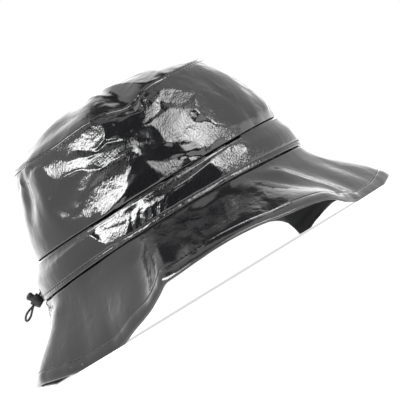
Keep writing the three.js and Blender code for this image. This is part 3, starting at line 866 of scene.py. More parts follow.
def softOval(x, y, oval, turn):
    # Its depth times e to the minus of the squared distance from its middle, where its own half length
    # and half width count as 1.
    cos, sin = math.cos(math.radians(turn)), math.sin(math.radians(turn))
    a = (x * cos + y * sin) / oval["along"]
    b = (y * cos - x * sin) / oval["across"]
    return oval["depth"] * np.exp(-(a**2 + b**2))


def sideDent(at, height):
    # How deep the side is pressed in: soft ovals on the unrolled wall, added up.
    total = 0
    for dent in crown["dents"]:
        around = np.radians(angleBetween(at, dent["at"])) * crown["meanRadius"]
        total = total + softOval(around, height - dent["height"], dent, dent["lean"])
    return total


def topDent(x, y):
    # How deep the top is pressed in: soft ovals on its plan, added up.
    return sum(softOval(x - dent["x"], y - dent["y"], dent, dent["turn"]) for dent in crown["topDents"])


def sideSurface(ring, at):
    # The oval, pulled in behind the band, dented, and sagging at the top's seam.
    points = crownOval(ring, at)
    free = ease(ring, crown["bandTop"], crown["bandTop"] + 1)
    inwards = cloth["bandLayers"] * (1 - free) + sideDent(at, points[..., 2]) * free
    points = points - outward(ring, at) * inwards[..., None]
    points[..., 2] -= seamSag(at) * ease(ring, crown["tip"] - 2, crown["tip"])
    return points


def topSurface(r, at):
    # The seam drawn in towards the middle by r, its sags fading as r squared, under a dome with dents.
    seam = sideSurface(np.full_like(at, crown["tip"]), at)
    level = crown["rings"][-1]["height"]
    middle = (crown["rings"][-1]["front"] + crown["rings"][-1]["back"]) / 2
    x = middle + (seam[..., 0] - middle) * r
    y = seam[..., 1] * r
    dome = crown["topRise"] * (1 - r ** crown["topFullness"])
    free = 1 - ease(r, 0.8, 1)
    return np.stack([x, y, level + (seam[..., 2] - level) * r**2 + dome - free * topDent(x, y)], -1)


def ringsAround(values, columns):
    # A grid of row values and degrees: each row goes once round the hat in even steps.
    at = np.arange(columns) * 360 / columns
    return np.meshgrid(values, at, indexing="ij")


tipSeam = {
    "length": 440,                  # round the hat
    "dive": 1.15, "diveWidth": 0.75,
    "channel": 0.2, "channelWidth": 0.6,
    "pucker": 0.08, "puckerAt": 1.2, "puckerWidth": 1.4,
    "wave": 0.08, "waveAt": 4, "waveWidth": 4, "waveStitches": 4, "wavePhase": 1.1,
    "wear": 0.6, "wearWidth": 1.2,
}


def seamRelief(away, at):
    # The cloth dives into the seam, dips under the stitches, puckers between them and waves beside them:
    # bells across the seam, times cosines along it for the puckers and the waves.
    s = tipSeam
    stitches = round(s["length"] / cloth["seamPitch"])
    turn = np.radians(at) * stitches
    dive = s["dive"] * bell(away, s["diveWidth"])
    channel = s["channel"] * bell(away - cloth["seamSide"], s["channelWidth"])
    pucker = s["pucker"] * np.cos(turn) * bell(away - s["puckerAt"], s["puckerWidth"])
    wave = np.cos(turn / s["waveStitches"] + s["wavePhase"]) * bell(away - s["waveAt"], s["waveWidth"])
    return pucker + s["wave"] * wave - dive - channel


def creaseRelief(at, height):
    # The side's folds on the unrolled wall, added up.
    total = 0
    for fold in crown["creases"]:
        around = np.radians(angleBetween(at, fold["at0"])) * crown["meanRadius"]
        run = math.radians(angleBetween(fold["at1"], fold["at0"])) * crown["meanRadius"]
        rise = fold["height1"] - fold["height0"]
        total = total + foldRelief(around, height - fold["height0"], run, rise, fold)
    return total


def foldRelief(x, y, runX, runY, fold):
    # A soft crest along the straight line from (0, 0) to (runX, runY), fading at both ends: it falls off
    # as e to the minus of the distance from the line, rounded near zero.
    length = math.hypot(runX, runY)
    along = (x * runX + y * runY) / length
    beside = (y * runX - x * runY) / length
    fade = ease(along, -fold["width"], fold["width"]) * (
        1 - ease(along, length - fold["width"], length + fold["width"]))
    return fold["height"] * fade * np.exp(-np.sqrt((beside / fold["width"]) ** 2 + 0.05) * 1.6)


def clothRelief(points, strength):
    # Broad waves of the cloth, and fine creases of the film that are strongest where strength is 1.
    broad = 0.3 * ripple(points, 22, 11)
    fine = 0.32 * crinkle(points, 8, 21) + 0.10 * crinkle(points, 3.6, 31)
    return broad + fine * strength


def crinkled(at):
    # How much the film is crushed into fine wrinkles: 1 on the near side, and eased down from 38 to 60
    # degrees away from it.
    return mix(cloth["leastCrushed"], 1, 1 - ease(np.abs(angleBetween(at, cloth["handledAt"])), 38, 60))


def mirrored(normals):
    # Degrees round and up from the hat of what the camera sees in faces with these normals.
    there = -2 * normals[..., 1:2] * normals + np.array([0, 1, 0])
    around = np.degrees(np.arctan2(there[..., 0], -there[..., 1]))
    return around, np.degrees(np.arcsin(np.clip(there[..., 2], -1, 1)))


def mirrorWay(around, up):
    # The way that a face points where the camera sees in it what lies in this direction.
    a, e = np.radians(around), np.radians(up)
    there = np.stack([np.sin(a) * np.cos(e), -np.cos(a) * np.cos(e) - 1, np.sin(e)], -1)
    return unit(there)


def insideOutline(points, corners, soft):
    # 1 inside a closed outline and 0 outside, eased over the distance soft on both sides of it.
    start = np.array(corners, float)
    end = np.roll(start, -1, 0)
    nearest = np.full(points.shape[:-1], np.inf)
    inside = np.zeros(points.shape[:-1], bool)
    for (x0, y0), (x1, y1) in zip(start, end):
        x, y = points[..., 0] - x0, points[..., 1] - y0
        part = np.clip((x * (x1 - x0) + y * (y1 - y0)) / ((x1 - x0) ** 2 + (y1 - y0) ** 2), 0, 1)
        nearest = np.minimum(nearest, np.hypot(x - part * (x1 - x0), y - part * (y1 - y0)))
        if y0 != y1:
            inside ^= ((y < 0) != (y < y1 - y0)) & (x < y * (x1 - x0) / (y1 - y0))
    return ease(np.where(inside, nearest, -nearest), -soft, soft)


fieldSet = {
    "rows": 150,              # of the grid on which the relief is worked out
    "steps": 80,              # of the search for it
    "loose": 0.005,           # how much the cloth outside the fields resists a slope, where a field is 1
    "reach": 16,              # millimetres in which a field's lift fades outside it
    "held": 0.2,              # how firmly both ends stay where they are
    "heldWidth": 1.2,
    "soft": 1.5,              # pixels over which a field's outline is eased, unless it says another
    "steepest": 0.4,          # the least cosine between the cloth and the way that a field asks for
}


def heightsFromSlopes(slopes, steps, weight, held):
    # The relief whose slopes come nearest to those asked for, where they are asked for, which is zero
    # where it is held, and otherwise as level as it can be: least squares by conjugate gradients. Each
    # step is smoothed with the frequencies of the unrolled cloth, whose rows are mirrored to close it.
    rows, columns = weight.shape
    firm = weight + fieldSet["loose"]
    firmDown = (firm[1:] + firm[:-1]) / 2
    level = fieldSet["loose"] / fieldSet["reach"] ** 2
    both = np.concatenate([np.arange(rows), np.arange(rows)[::-1]])
    down = (2 * np.sin(np.pi * np.fft.fftfreq(2 * rows)) / steps[0]) ** 2
    across = (2 * np.sin(np.pi * np.fft.fftfreq(columns)) / steps[1]) ** 2
    smooth = 1 / ((down[:, None] + across) * firm.mean() + level)

    def gather(down, across):
        # What slopes pull each point to: the difference of those on both sides of it, over the step.
        total = (np.roll(across, 1, 1) - across) / steps[1]
        total[:-1] -= down / steps[0]
        total[1:] += down / steps[0]
        return total

    def pull(relief):
        # The same for a relief's own slopes, each as firm as its place, and how far the relief is held.
        down = np.diff(relief, axis=0) / steps[0] * firmDown
        across = (np.roll(relief, -1, 1) - relief) / steps[1] * firm
        return gather(down, across) + relief * (held + level)

    relief = np.zeros(weight.shape)
    asked = [slope * weight for slope in slopes]
    left = gather((asked[0][1:] + asked[0][:-1]) / 2, asked[1])
    way = 0
    before = 1
    for step in range(fieldSet["steps"]):
        eased = np.real(np.fft.ifft2(np.fft.fft2(left[both]) * smooth))[:rows]
        now = (left * eased).sum()
        way = eased + way * now / before
        pulled = pull(way)
        part = now / (way * pulled).sum()
        relief = relief + part * way
        left = left - part * pulled
        before = now
    return relief


def fieldRelief(surface, low, high, columns, fields):
    # Between its folds the cloth lies in nearly flat fields. Each has its corners in the picture and
    # mirrors a window. This finds the relief that turns them so: where a field is, the slope asked for is
    # the one that turns the cloth to the nearest direction in the window. firm says how much a field
    # insists on it, and soft over how many pixels its outline is eased on both sides. It gives a function
    # of the surface's row: the relief, the share of the cloth outside the fields, and how crushed it is.
    s = fieldSet
    count = s["rows"]
    row, at = ringsAround(np.linspace(low, high, count), columns)
    points = surface(row, at)
    normals = normalsOf(points)
    around = unit(np.roll(points, -1, 1) - np.roll(points, 1, 1))
    along = np.cross(normals, around)
    steps = [np.linalg.norm(np.diff(points, axis=axis), axis=-1).mean() for axis in (0, 1)]
    pixels = pixelsOf(points)
    facing = ease(-normals[..., 1], 0.05, 0.2)    # only the side that the camera sees
    slopes = [np.zeros(at.shape), np.zeros(at.shape)]
    weight = np.zeros(at.shape)
    outside = np.ones(at.shape)
    crushed = np.ones(at.shape)
    roundNow, upNow = mirrored(normals)
    for field in fields:
        field = {"soft": s["soft"], "firm": 1, "crushed": 1, **windows[field["mirrors"]], **field}
        part = insideOutline(pixels, field["corners"], field["soft"]) * facing
        way = mirrorWay(np.clip(roundNow, *field["round"]), np.clip(upNow, *field["up"]))
        square = np.maximum((normals * way).sum(-1), s["steepest"])
        asked = [-(axis * way).sum(-1) / square for axis in (along, around)]
        slopes = [mix(slope, new, part) for slope, new in zip(slopes, asked)]
        weight = mix(weight, field["firm"], part)
        outside = mix(outside, 0, part)
        crushed = mix(crushed, field["crushed"], part)
    toEnd = np.minimum(row - low, high - row) / (high - low) * (count - 1) * steps[0]
    relief = heightsFromSlopes(slopes, steps, weight, s["held"] * bell(toEnd, s["heldWidth"]))

    def between(grid, value):
        # A row of the grid at this value, mixed from the two nearest.
        place = np.clip((value - low) / (high - low), 0, 1) * (count - 1)
        first = np.minimum(place.astype(int), count - 2)
        return mix(grid[first], grid[first + 1], (place - first)[:, None])

    return lambda value: [between(grid, value) for grid in (relief, outside, crushed)]


def makeCrownSide():
    # The side's surface, moved along its normals by folds, fields, creases, the bulge and groove over the
    # band, and the seam's relief. The inner wall follows the folds.
    tip = crown["tip"]
    rows = runsOf((0, 1.9, 4), (1.98, 2.08, 4), (2.1, 2.22, 11), (2.27, 6.6, 58), (6.65, tip, 12))
    ring, at = ringsAround(rows, crown["columns"])
    base = sideSurface(ring, at)
    away = (tip - ring) * crown["ringLength"]
    above = (ring - crown["bandTop"]) * crown["ringLength"]
    free = ease(above, 0, 5)
    handled = bell(angleBetween(at, cloth["handledAt"]), cloth["handledWidth"])
    strength = free * mix(0.35, 1, np.clip(handled + 0.5 * ripple(base, 45, 5), 0, 1))
    fieldsAt = fieldRelief(sideSurface, crown["bandTop"], tip, crown["columns"], crown["fields"])
    flat, outside, crushed = fieldsAt(rows)
    kept = free * mix(cloth["inFields"], 1, outside) * ease(away, 0, 6)
    folds = kept * creaseRelief(at, base[..., 2]) + flat * ease(away, 0, 2) * ease(above, 0, 2)
    bulge = crown["bulge"] * ease(above, 1, 4) * (1 - ease(above, 5, 13))
    groove = crown["groove"] * (1 - ease(above, 1.7, 2.8))
    relief = folds + kept * clothRelief(base, strength) + bulge - groove + seamRelief(away, at)
    outer = base + normalsOf(base) * relief[..., None]
    keepLine("underTip", outer, rows, tip - cloth["seamSide"] / crown["ringLength"])
    insideRows = np.linspace(0, tip, 36)
    ringIn, atIn = ringsAround(insideRows, crown["insideColumns"])
    insideBase = sideSurface(ringIn, atIn)
    aboveIn = (ringIn - crown["bandTop"]) * crown["ringLength"]
    foldsIn = insideOf(folds, rows, insideRows, crown["insideColumns"])
    foldsIn = foldsIn - crown["innerFold"] * bell(aboveIn - 0.6, 3)
    inner = insideBase + normalsOf(insideBase) * (foldsIn - cloth["wall"])[..., None]
    wear = tipSeam["wear"] * bell(away, tipSeam["wearWidth"])
    piece = closedWall("crown_side_panel", outer, inner, uvOf(ring, at), uvOf(ringIn, atIn),
                       {"wear": wear, "crinkled": crinkled(at) * crushed})
    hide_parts("crown_side")


def insideOf(relief, rows, insideRows, insideColumns):
    # A relief of the outer wall at the coarser points of the inner one, by straight lines between rows.
    every = relief.shape[1] // insideColumns
    return np.stack([np.interp(insideRows, rows, column) for column in relief[:, ::every].T], 1)


seamLines = {}


def keepLine(name, outer, rows, value):
    # A line on a finished surface for stitches: its points and ways out, mixed from two rows of the grid
    # and with the ways averaged over seven columns.
    order = np.argsort(rows)
    place = np.interp(value, rows[order], order)
    first = min(int(place), len(rows) - 2)
    part = place - first
    line = mix(outer[first], outer[first + 1], part)
    out = normalsOf(outer)
    out = mix(out[first], out[first + 1], part)
    seamLines[name] = line, unit(sum(np.roll(out, shift, 0) for shift in range(-3, 4)))


def uvOf(row, at, length=crown["ringLength"]):
    # Metres round the hat and up the wall: the angle times the mean radius, and the row times its length.
    return np.stack([np.radians(at) * crown["meanRadius"] * mm, row * length * mm], -1)


def closedWall(name, outer, inner, outerUv, innerUv, marks, poles=None):
    # Outer rows run upwards, inner rows are coarser, and both ends are closed by strips or by poles.
    rows, columns = outer.shape[:2]
    insideRows, insideColumns = inner.shape[:2]
    innerFirst = rows * columns
    faces = gridFaces(0, rows, columns)
    inside = gridFaces(innerFirst, insideRows, insideColumns, flip=True)
    rims = rimFaces(0, columns, innerFirst, insideColumns)
    points = [outer.reshape(-1, 3), inner.reshape(-1, 3)]
    uv = [outerUv.reshape(-1, 2), innerUv.reshape(-1, 2)]
    if poles is None:
        topFirst = (rows - 1) * columns
        rims += rimFaces(topFirst, columns, innerFirst + (insideRows - 1) * insideColumns,
                         insideColumns, flip=True)
    else:
        pole = innerFirst + insideRows * insideColumns
        faces += fanFaces((rows - 1) * columns, columns, pole)
        inside += fanFaces(innerFirst + (insideRows - 1) * insideColumns, insideColumns, pole + 1, flip=True)
        points.append(np.array(poles))
        uv.append(np.stack([outerUv[-1].mean(0), innerUv[-1].mean(0)]))
    finishOf = np.concatenate([np.zeros(len(faces)), np.ones(len(inside)), np.zeros(len(rims))])
    points = np.concatenate(points)
    plain = np.zeros(len(points) - innerFirst)
    marks = {
        mark: np.concatenate([np.broadcast_to(values, (rows, columns)).ravel(), plain])
        for mark, values in marks.items()
    }
    piece = makePiece(name, points, faces + inside + rims, "hat", np.concatenate(uv), marks,
                      [wetLookCloth, backingCloth], finishOf)
    return piece


def makeCrownTop():
    # The top's surface, moved along its normals by creases, folds and the seam's relief. Both walls end
    # in a pole in the middle.
    values = runsOf((1, 0.93, 11), (0.915, 0.02, 62))
    r, at = ringsAround(values, crown["topColumns"])
    base = topSurface(r, at)
    away = (1 - r) * crown["topRadius"]
    relief = 0.6 * clothRelief(base, 0.4) * ease(away, 0, 6) * ease(r, 0.02, 0.12)
    for fold in crown["topFolds"]:
        x, y = base[..., 0] - fold["x"], base[..., 1] - fold["y"]
        runX, runY = fold["toX"] - fold["x"], fold["toY"] - fold["y"]
        relief = relief + ease(away, 0, 5) * foldRelief(x, y, runX, runY, fold)
    outer = base + normalsOf(base) * (relief + seamRelief(away, at))[..., None]
    keepLine("overTip", outer, values, 1 - cloth["seamSide"] / crown["topRadius"])
    rIn, atIn = ringsAround(np.linspace(1, 0.04, 18), crown["insideTopColumns"])
    insideBase = topSurface(rIn, atIn)
    inner = insideBase - normalsOf(insideBase) * cloth["wall"]
    top = outer[-1].mean(0)
    wear = tipSeam["wear"] * bell(away, tipSeam["wearWidth"])
    piece = closedWall("crown_top_panel", outer, inner, base[..., :2] * mm, insideBase[..., :2] * mm,
                       {"wear": wear, "crinkled": crown["topCrushed"]}, [top, top - (0, 0, cloth["wall"])])
    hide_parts("crown_tip")


makeCrownSide()
makeCrownTop()
print("crown made")


# Band

band = {
    "columns": 560,
    "insideColumns": 140,
    "height": 23,             # of the strip, down its slope
    "stitchRow": 2.4,         # above the lower edge
    "puff": 0.55,             # how far the casing swells between its edges
    "length": 590,            # round the hat
    "channel": 0.5, "channelWidth": 0.4,
    "pucker": 0.12, "puckerWidth": 2.2,
    "gather": 0.3,            # height of the small upright wrinkles, and millimetres between them
    "gatherPitch": 4.3,
    "gatheredAt": 262,        # degrees round where they are strongest, and how far they go on
    "gatheredWidth": 42,
    "foldRows": 4,            # rows round each folded edge
    "wear": 0.5, "topWear": 0.1,
    # nearly flat fields: corners in the picture's pixels, and the window that they mirror
    "fields": [
        {"corners": [(40, 275), (90, 236), (95, 240), (104, 247), (110, 252), (60, 284), (40, 284)],
         "mirrors": "underBar", "firm": 2},
        {"corners": [(165, 212), (167, 195), (190, 180), (211, 163), (216, 169), (219, 165), (221, 173),
         (226, 171), (227, 178), (210, 188), (190, 198), (175, 207)], "mirrors": "bandBlack", "firm": 2},
        {"corners": [(96, 234), (101, 230), (115, 225), (125, 222), (123, 235), (116, 247), (111, 242),
         (105, 244), (100, 240)], "mirrors": "bar"},
        {"corners": [(124, 236), (123, 225), (125, 218), (128, 220), (127, 230), (127, 235)],
         "mirrors": "bar", "soft": 1},
        {"corners": [(131, 225), (130, 215), (133, 210), (135, 212), (134, 220), (136, 225)],
         "mirrors": "bar", "soft": 1},
        {"corners": [(140, 222), (137, 215), (140, 211), (144, 214), (147, 222), (144, 225)],
         "mirrors": "bar", "soft": 1},
        {"corners": [(150, 220), (147, 214), (150, 211), (154, 217)], "mirrors": "bar", "soft": 1},
        {"corners": [(157, 216), (154, 210), (157, 205), (161, 212)], "mirrors": "bar", "soft": 1},
        {"corners": [(129, 236), (128, 221), (131, 217), (132, 230)], "mirrors": "black", "soft": 1},
        {"corners": [(137, 227), (136, 214), (139, 211), (140, 224)], "mirrors": "black", "soft": 1},
        {"corners": [(146, 224), (144, 213), (148, 209), (149, 220)], "mirrors": "black", "soft": 1},
        {"corners": [(154, 219), (152, 209), (155, 207), (157, 217)], "mirrors": "black", "soft": 1},
        {"corners": [(212, 162), (227, 150), (241, 145), (244, 150), (249, 165), (237, 169), (232, 167),
         (225, 175), (219, 170)], "mirrors": "boxLow", "soft": 3},
        {"corners": [(221, 178), (223, 165), (226, 176)], "mirrors": "underBox", "firm": 2, "soft": 1},
        {"corners": [(230, 172), (230, 158), (234, 170)], "mirrors": "underBox", "firm": 2, "soft": 1},
        {"corners": [(240, 171), (238, 158), (243, 168)], "mirrors": "underBox", "firm": 2, "soft": 1},
        {"corners": [(228, 148), (232, 156), (234, 146)], "mirrors": "underBox", "firm": 2, "soft": 1},
    ],
}


def bandSurface(up, at):
    # The crown's oval: up runs from 0 at the foot to 1 at the top edge.
    return crownOval(up * crown["bandTop"], at)


def bandRelief(up, at, points, outside):
    # The casing swells as a sine between its edges, dips under its stitches by a bell and is gathered
    # into small upright wrinkles, with a cosine of puckers along the stitches.
    s = band
    above = up * s["height"]
    overStitches = above - s["stitchRow"]
    swell = s["puff"] * np.sin(np.pi * np.clip(overStitches / (s["height"] - s["stitchRow"]), 0, 1)) ** 0.8
    channel = s["channel"] * bell(overStitches, s["channelWidth"])
    unrolled = np.stack([np.radians(at) * crown["meanRadius"], above * 0.28, 0 * above], -1)
    gathers = s["gather"] * crinkle(wrapRound(at, above * 0.3), s["gatherPitch"], 77)
    near = bell(angleBetween(at, s["gatheredAt"]), s["gatheredWidth"])
    gathered = mix(0.12, 1, np.clip(near + 0.4 * ripple(points, 60, 8), 0, 1))
    fade = mix(0.35, 1, bell(overStitches, 7))
    stitches = round(s["length"] / cloth["seamPitch"])
    pucker = s["pucker"] * np.cos(np.radians(at) * stitches) * bell(overStitches, s["puckerWidth"])
    edges = ease(above, 0, 1.2) * (1 - ease(above, s["height"] - 1.5, s["height"]))
    loose = swell + gathers * gathered * fade + 0.15 * ripple(unrolled, 26, 9)
    return loose * edges * mix(0.35, 1, outside) + pucker - channel


def wrapRound(at, up):
    # A point for patterns that close round the hat: a circle of the band's length, and a height.
    turn = np.radians(at)
    return np.stack([crown["meanRadius"] * np.cos(turn), crown["meanRadius"] * np.sin(turn), up], -1)


def makeBand():
    # The band's surface, moved along its normals by its relief and its fields. Each edge is folded: a
    # half circle from the outer face towards the inner one.
    s = band
    rows = runsOf((0, 0.075, 4), (0.084, 0.124, 9), (0.14, 0.93, 24), (0.95, 1, 5))
    up, at = ringsAround(rows, s["columns"])
    base = bandSurface(up, at)
    normals = normalsOf(base)
    flat, outside, crushed = fieldRelief(bandSurface, 0, 1, s["columns"], s["fields"])(rows)
    flat = flat * ease(up, 0, 0.08) * (1 - ease(up, 0.92, 1))
    outer = base + normals * (bandRelief(up, at, base, outside) + flat)[..., None]
    keepLine("band", outer, rows, s["stitchRow"] / s["height"])
    radius = cloth["wall"] / 2
    turn = np.radians(np.linspace(72, 0, s["foldRows"]))[:, None, None]
    folds = []
    for edgeRow, nextRow in ((0, 1), (-1, -2)):
        way = unit(base[edgeRow] - base[nextRow])
        centre = outer[edgeRow] - normals[edgeRow] * radius
        folds.append(centre + radius * (way * np.cos(turn) + normals[edgeRow] * np.sin(turn)))
    outer = np.concatenate([folds[0][::-1], outer, folds[1]])
    insideRows = np.linspace(0, 1, 12)
    upIn, atIn = ringsAround(insideRows, s["insideColumns"])
    insideBase = bandSurface(upIn, atIn)
    flatIn = np.minimum(insideOf(flat, rows, insideRows, s["insideColumns"]), 0)
    inner = insideBase + normalsOf(insideBase) * (flatIn - cloth["wall"])[..., None]
    upAll, atAll = ringsAround(np.pad(rows, s["foldRows"], "edge"), s["columns"])
    crushed = np.pad(crushed, ((s["foldRows"], s["foldRows"]), (0, 0)), "edge")
    wear = s["wear"] * bell(upAll * s["height"], 1) + s["topWear"] * bell((1 - upAll) * s["height"], 1)
    piece = closedWall("crown_band", outer, inner, uvOf(upAll, atAll, s["height"]),
                       uvOf(upIn, atIn, s["height"]), {"wear": wear, "crinkled": crinkled(atAll) * crushed})
    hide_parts("band")


makeBand()
print("band made")


# Brim

brim = {
    "columns": 680,
    "insideColumns": 170,
    "bendPeak": 6.75,         # makes s (1 - s) squared reach 1
    "length": 830,            # of the hem's stitches round the hat
    "channel": 0.6, "channelWidth": 0.45,
    "hemSwell": 0.55,
    "pucker": 0.08, "puckerWidth": 1.8,
    "drawn": 0.12,            # height of the wrinkles that the hem draws up
    "waves": 0.9,             # how much of the cloth's own waves shows
    "dive": 1.2, "diveWidth": 1.1,
    "edgeRows": 14,           # rows round the edge
    "plyRound": 0.85, "edgeRound": 0.1,
    "wear": 0.8,
    "crinkled": 0.15,
    "edge": tableOf(
        "at out height",
        (0, 40, 4.8), (12, 34, -0.8), (22, 32, -0.8), (32, 38, 6), (41, 40, 8.8), (49, 34, 4.2),
        (55, 31, -0.8), (58, 39, 9), (61, 45, 15.5), (66, 49.5, 21), (73, 52, 24.5), (86, 51.5, 26),
        (100, 50, 23), (112, 45, 18), (124, 36, 9), (136, 30, 1.5), (146, 29, -0.8), (157, 30.5, -0.5),
        (168, 33.5, 3.2), (180, 35, 5.8), (199, 37, 6.5), (213, 33, 3), (224, 28.5, -0.8),
        (233, 28, -0.6), (245, 34.5, 6.2), (252, 40.5, 11), (257, 46, 16.4), (261.5, 51, 21.2),
        (279, 52, 24.1), (288, 50.5, 22.6), (297, 48.5, 19), (305, 47, 16.5), (312, 44.5, 13.2),
        (321, 36, 5.5), (327, 32, 2.2), (334, 31, -0.8), (344, 33, -0.6), (352, 37, 2.5),
    ),
    "flow": tableOf(
        "at waist roll",
        (0, 2.4, 1.6), (60, 3, 1), (110, 2, 1.5), (180, 5, 1.8), (228, 3.4, 1.2), (262, 0.5, 2.2),
        (300, 2.4, 1), (330, 3, 1.4),
    ),
    "folds": tableOf(
        "root edge width from to height",
        (262, 261, 4, 0, 1, 2.6), (254, 254, 5, 0.1, 0.9, -1.8), (238, 240, 8, 0, 0.9, 1.6),
        (205, 200, 7, 0.05, 1, 2), (192, 190, 5, 0.1, 0.9, -1.5), (284, 276, 6, 0, 0.8, -1.8),
        (304, 318, 4, 0.05, 0.85, -1.8), (312, 327, 3.5, 0.05, 0.9, 1.8), (322, 336, 5, 0.1, 0.95, -0.7),
        (332, 345, 4, 0, 0.95, 0.3), (346, 354, 5, 0.1, 0.8, 0.7), (24, 20, 6, 0, 0.9, 1.8),
        (44, 40, 5, 0.1, 0.9, -1.6), (66, 62, 6, 0, 0.9, 1.5), (118, 122, 6, 0.1, 0.9, -1.6),
        (150, 152, 7, 0, 0.9, 1.6),
    ),
}

edgeCurves = {name: columnCurve(brim["edge"], "at", name, 360) for name in ("out", "height")}
flowCurves = {name: columnCurve(brim["flow"], "at", name, 360) for name in ("waist", "roll")}


def brimSurface(s, at):
    # A straight fall from the band (s = 0) to the edge (s = 1), moved square to itself by a waist
    # s (1 - s) squared, a roll s squared (1 - s), and the folds.
    ring = np.zeros_like(at)
    foot = crownOval(ring, at)
    out = outward(ring, at)
    root = foot - out * cloth["bandOverlap"]
    root[..., 2] -= cloth["gap"] + cloth["wall"] / 6
    end = foot + out * edgeCurves["out"](at)[..., None]
    end[..., 2] = edgeCurves["height"](at)
    run = end - root
    level = np.hypot(run[..., 0], run[..., 1])
    square = -out * run[..., 2:]
    square[..., 2] = level
    square = unit(square)
    bend = flowCurves["roll"](at) * s - flowCurves["waist"](at) * (1 - s)
    lift = brim["bendPeak"] * s * (1 - s) * bend
    for fold in brim["folds"]:
        away = angleBetween(at, fold["root"] + (fold["edge"] - fold["root"]) * s)
        length = ease(s, fold["from"], fold["from"] + 0.2) * (1 - ease(s, fold["to"] - 0.2, fold["to"] + 0.1))
        lift = lift + fold["height"] * length * bell(away, fold["width"])
    return root + run * s[..., None] + square * lift[..., None]


def brimRelief(s, at):
    # The hem swells as a sine between its stitches and its fold, the stitches lie in a channel with a
    # cosine of puckers along it, and the cloth is wavy. It dives in at the band.
    b = brim
    hem = cloth["hemWidth"]
    toEdge = (1 - s) * cloth["brimFall"]
    overStitches = toEdge - hem
    channel = b["channel"] * bell(overStitches, b["channelWidth"])
    swell = b["hemSwell"] * np.sin(np.pi * np.clip(toEdge / hem, 0, 1)) ** 0.7
    stitches = round(b["length"] / cloth["seamPitch"])
    pucker = b["pucker"] * np.cos(np.radians(at) * stitches) * bell(overStitches, b["puckerWidth"])
    drawn = b["drawn"] * ripple(wrapRound(at, toEdge * 0.25) * 1.5, 13, 51) * bell(toEdge - hem * 0.6, 6)
    waves = b["waves"] * clothRelief(wrapRound(at, toEdge * 0.3), 0.2) * ease(toEdge, 1, 12)
    dive = b["dive"] * bell(s * cloth["brimFall"], b["diveWidth"])
    return swell + pucker + drawn + waves - channel - dive


def makeBrim():
    # The brim's surface, moved along its normals by its relief, and kept above the floor. Its edge is two
    # plies with a groove between them: the size of a sine of two turns, over the thickness of the hem.
    b = brim
    hemStart = 1 - cloth["hemWidth"] / cloth["brimFall"]
    rows = runsOf(
        (1, hemStart + 0.02, 9), (hemStart + 0.015, hemStart - 0.015, 11), (hemStart - 0.02, 0.06, 50),
        (0.045, 0, 5),
    )
    s, at = ringsAround(rows, b["columns"])
    base = brimSurface(s, at)
    normals = normalsOf(base)
    outer = base + normals * brimRelief(s, at)[..., None]
    keepLine("hem", outer, rows, hemStart)
    way = unit(base[0] - base[1])
    t = np.linspace(0, 1, b["edgeRows"] + 1)[1:][:, None, None]
    swing = b["plyRound"] * np.abs(np.sin(2 * np.pi * t)) ** 0.4 + b["edgeRound"] * np.sin(np.pi * t)
    rim = outer[0] + way * swing - normals[0] * cloth["hemWall"] * t
    outer = np.concatenate([rim[::-1], outer])
    outer[..., 2] = np.maximum(outer[..., 2], 0)
    insideRows = np.concatenate([[1, 0.97, 0.93, 0.885, 0.865], np.linspace(0.84, 0, 24)])
    sIn, atIn = ringsAround(insideRows, b["insideColumns"])
    insideBase = brimSurface(sIn, atIn)
    thick = mix(cloth["wall"], cloth["hemWall"], ease(sIn, hemStart - 0.012, hemStart))
    inner = insideBase - normalsOf(insideBase) * thick[..., None]
    inner[..., 2] = np.maximum(inner[..., 2], 0)
    sAll, atAll = ringsAround(np.pad(rows, (b["edgeRows"], 0), "edge"), b["columns"])
    wear = b["wear"] * bell((1 - sAll) * cloth["brimFall"], 0.8)
    piece = closedWall("brim_panel", outer, inner, uvOf(-sAll, atAll, cloth["brimFall"]),
                       uvOf(-sIn, atIn, cloth["brimFall"]), {"wear": wear, "crinkled": b["crinkled"]})
    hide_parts("brim")


makeBrim()
print("brim made")


# Stitches

stitch = {"length": 2.4, "thickness": 0.42, "sides": 6, "rings": 7, "arch": 0.14, "sink": 0.02}


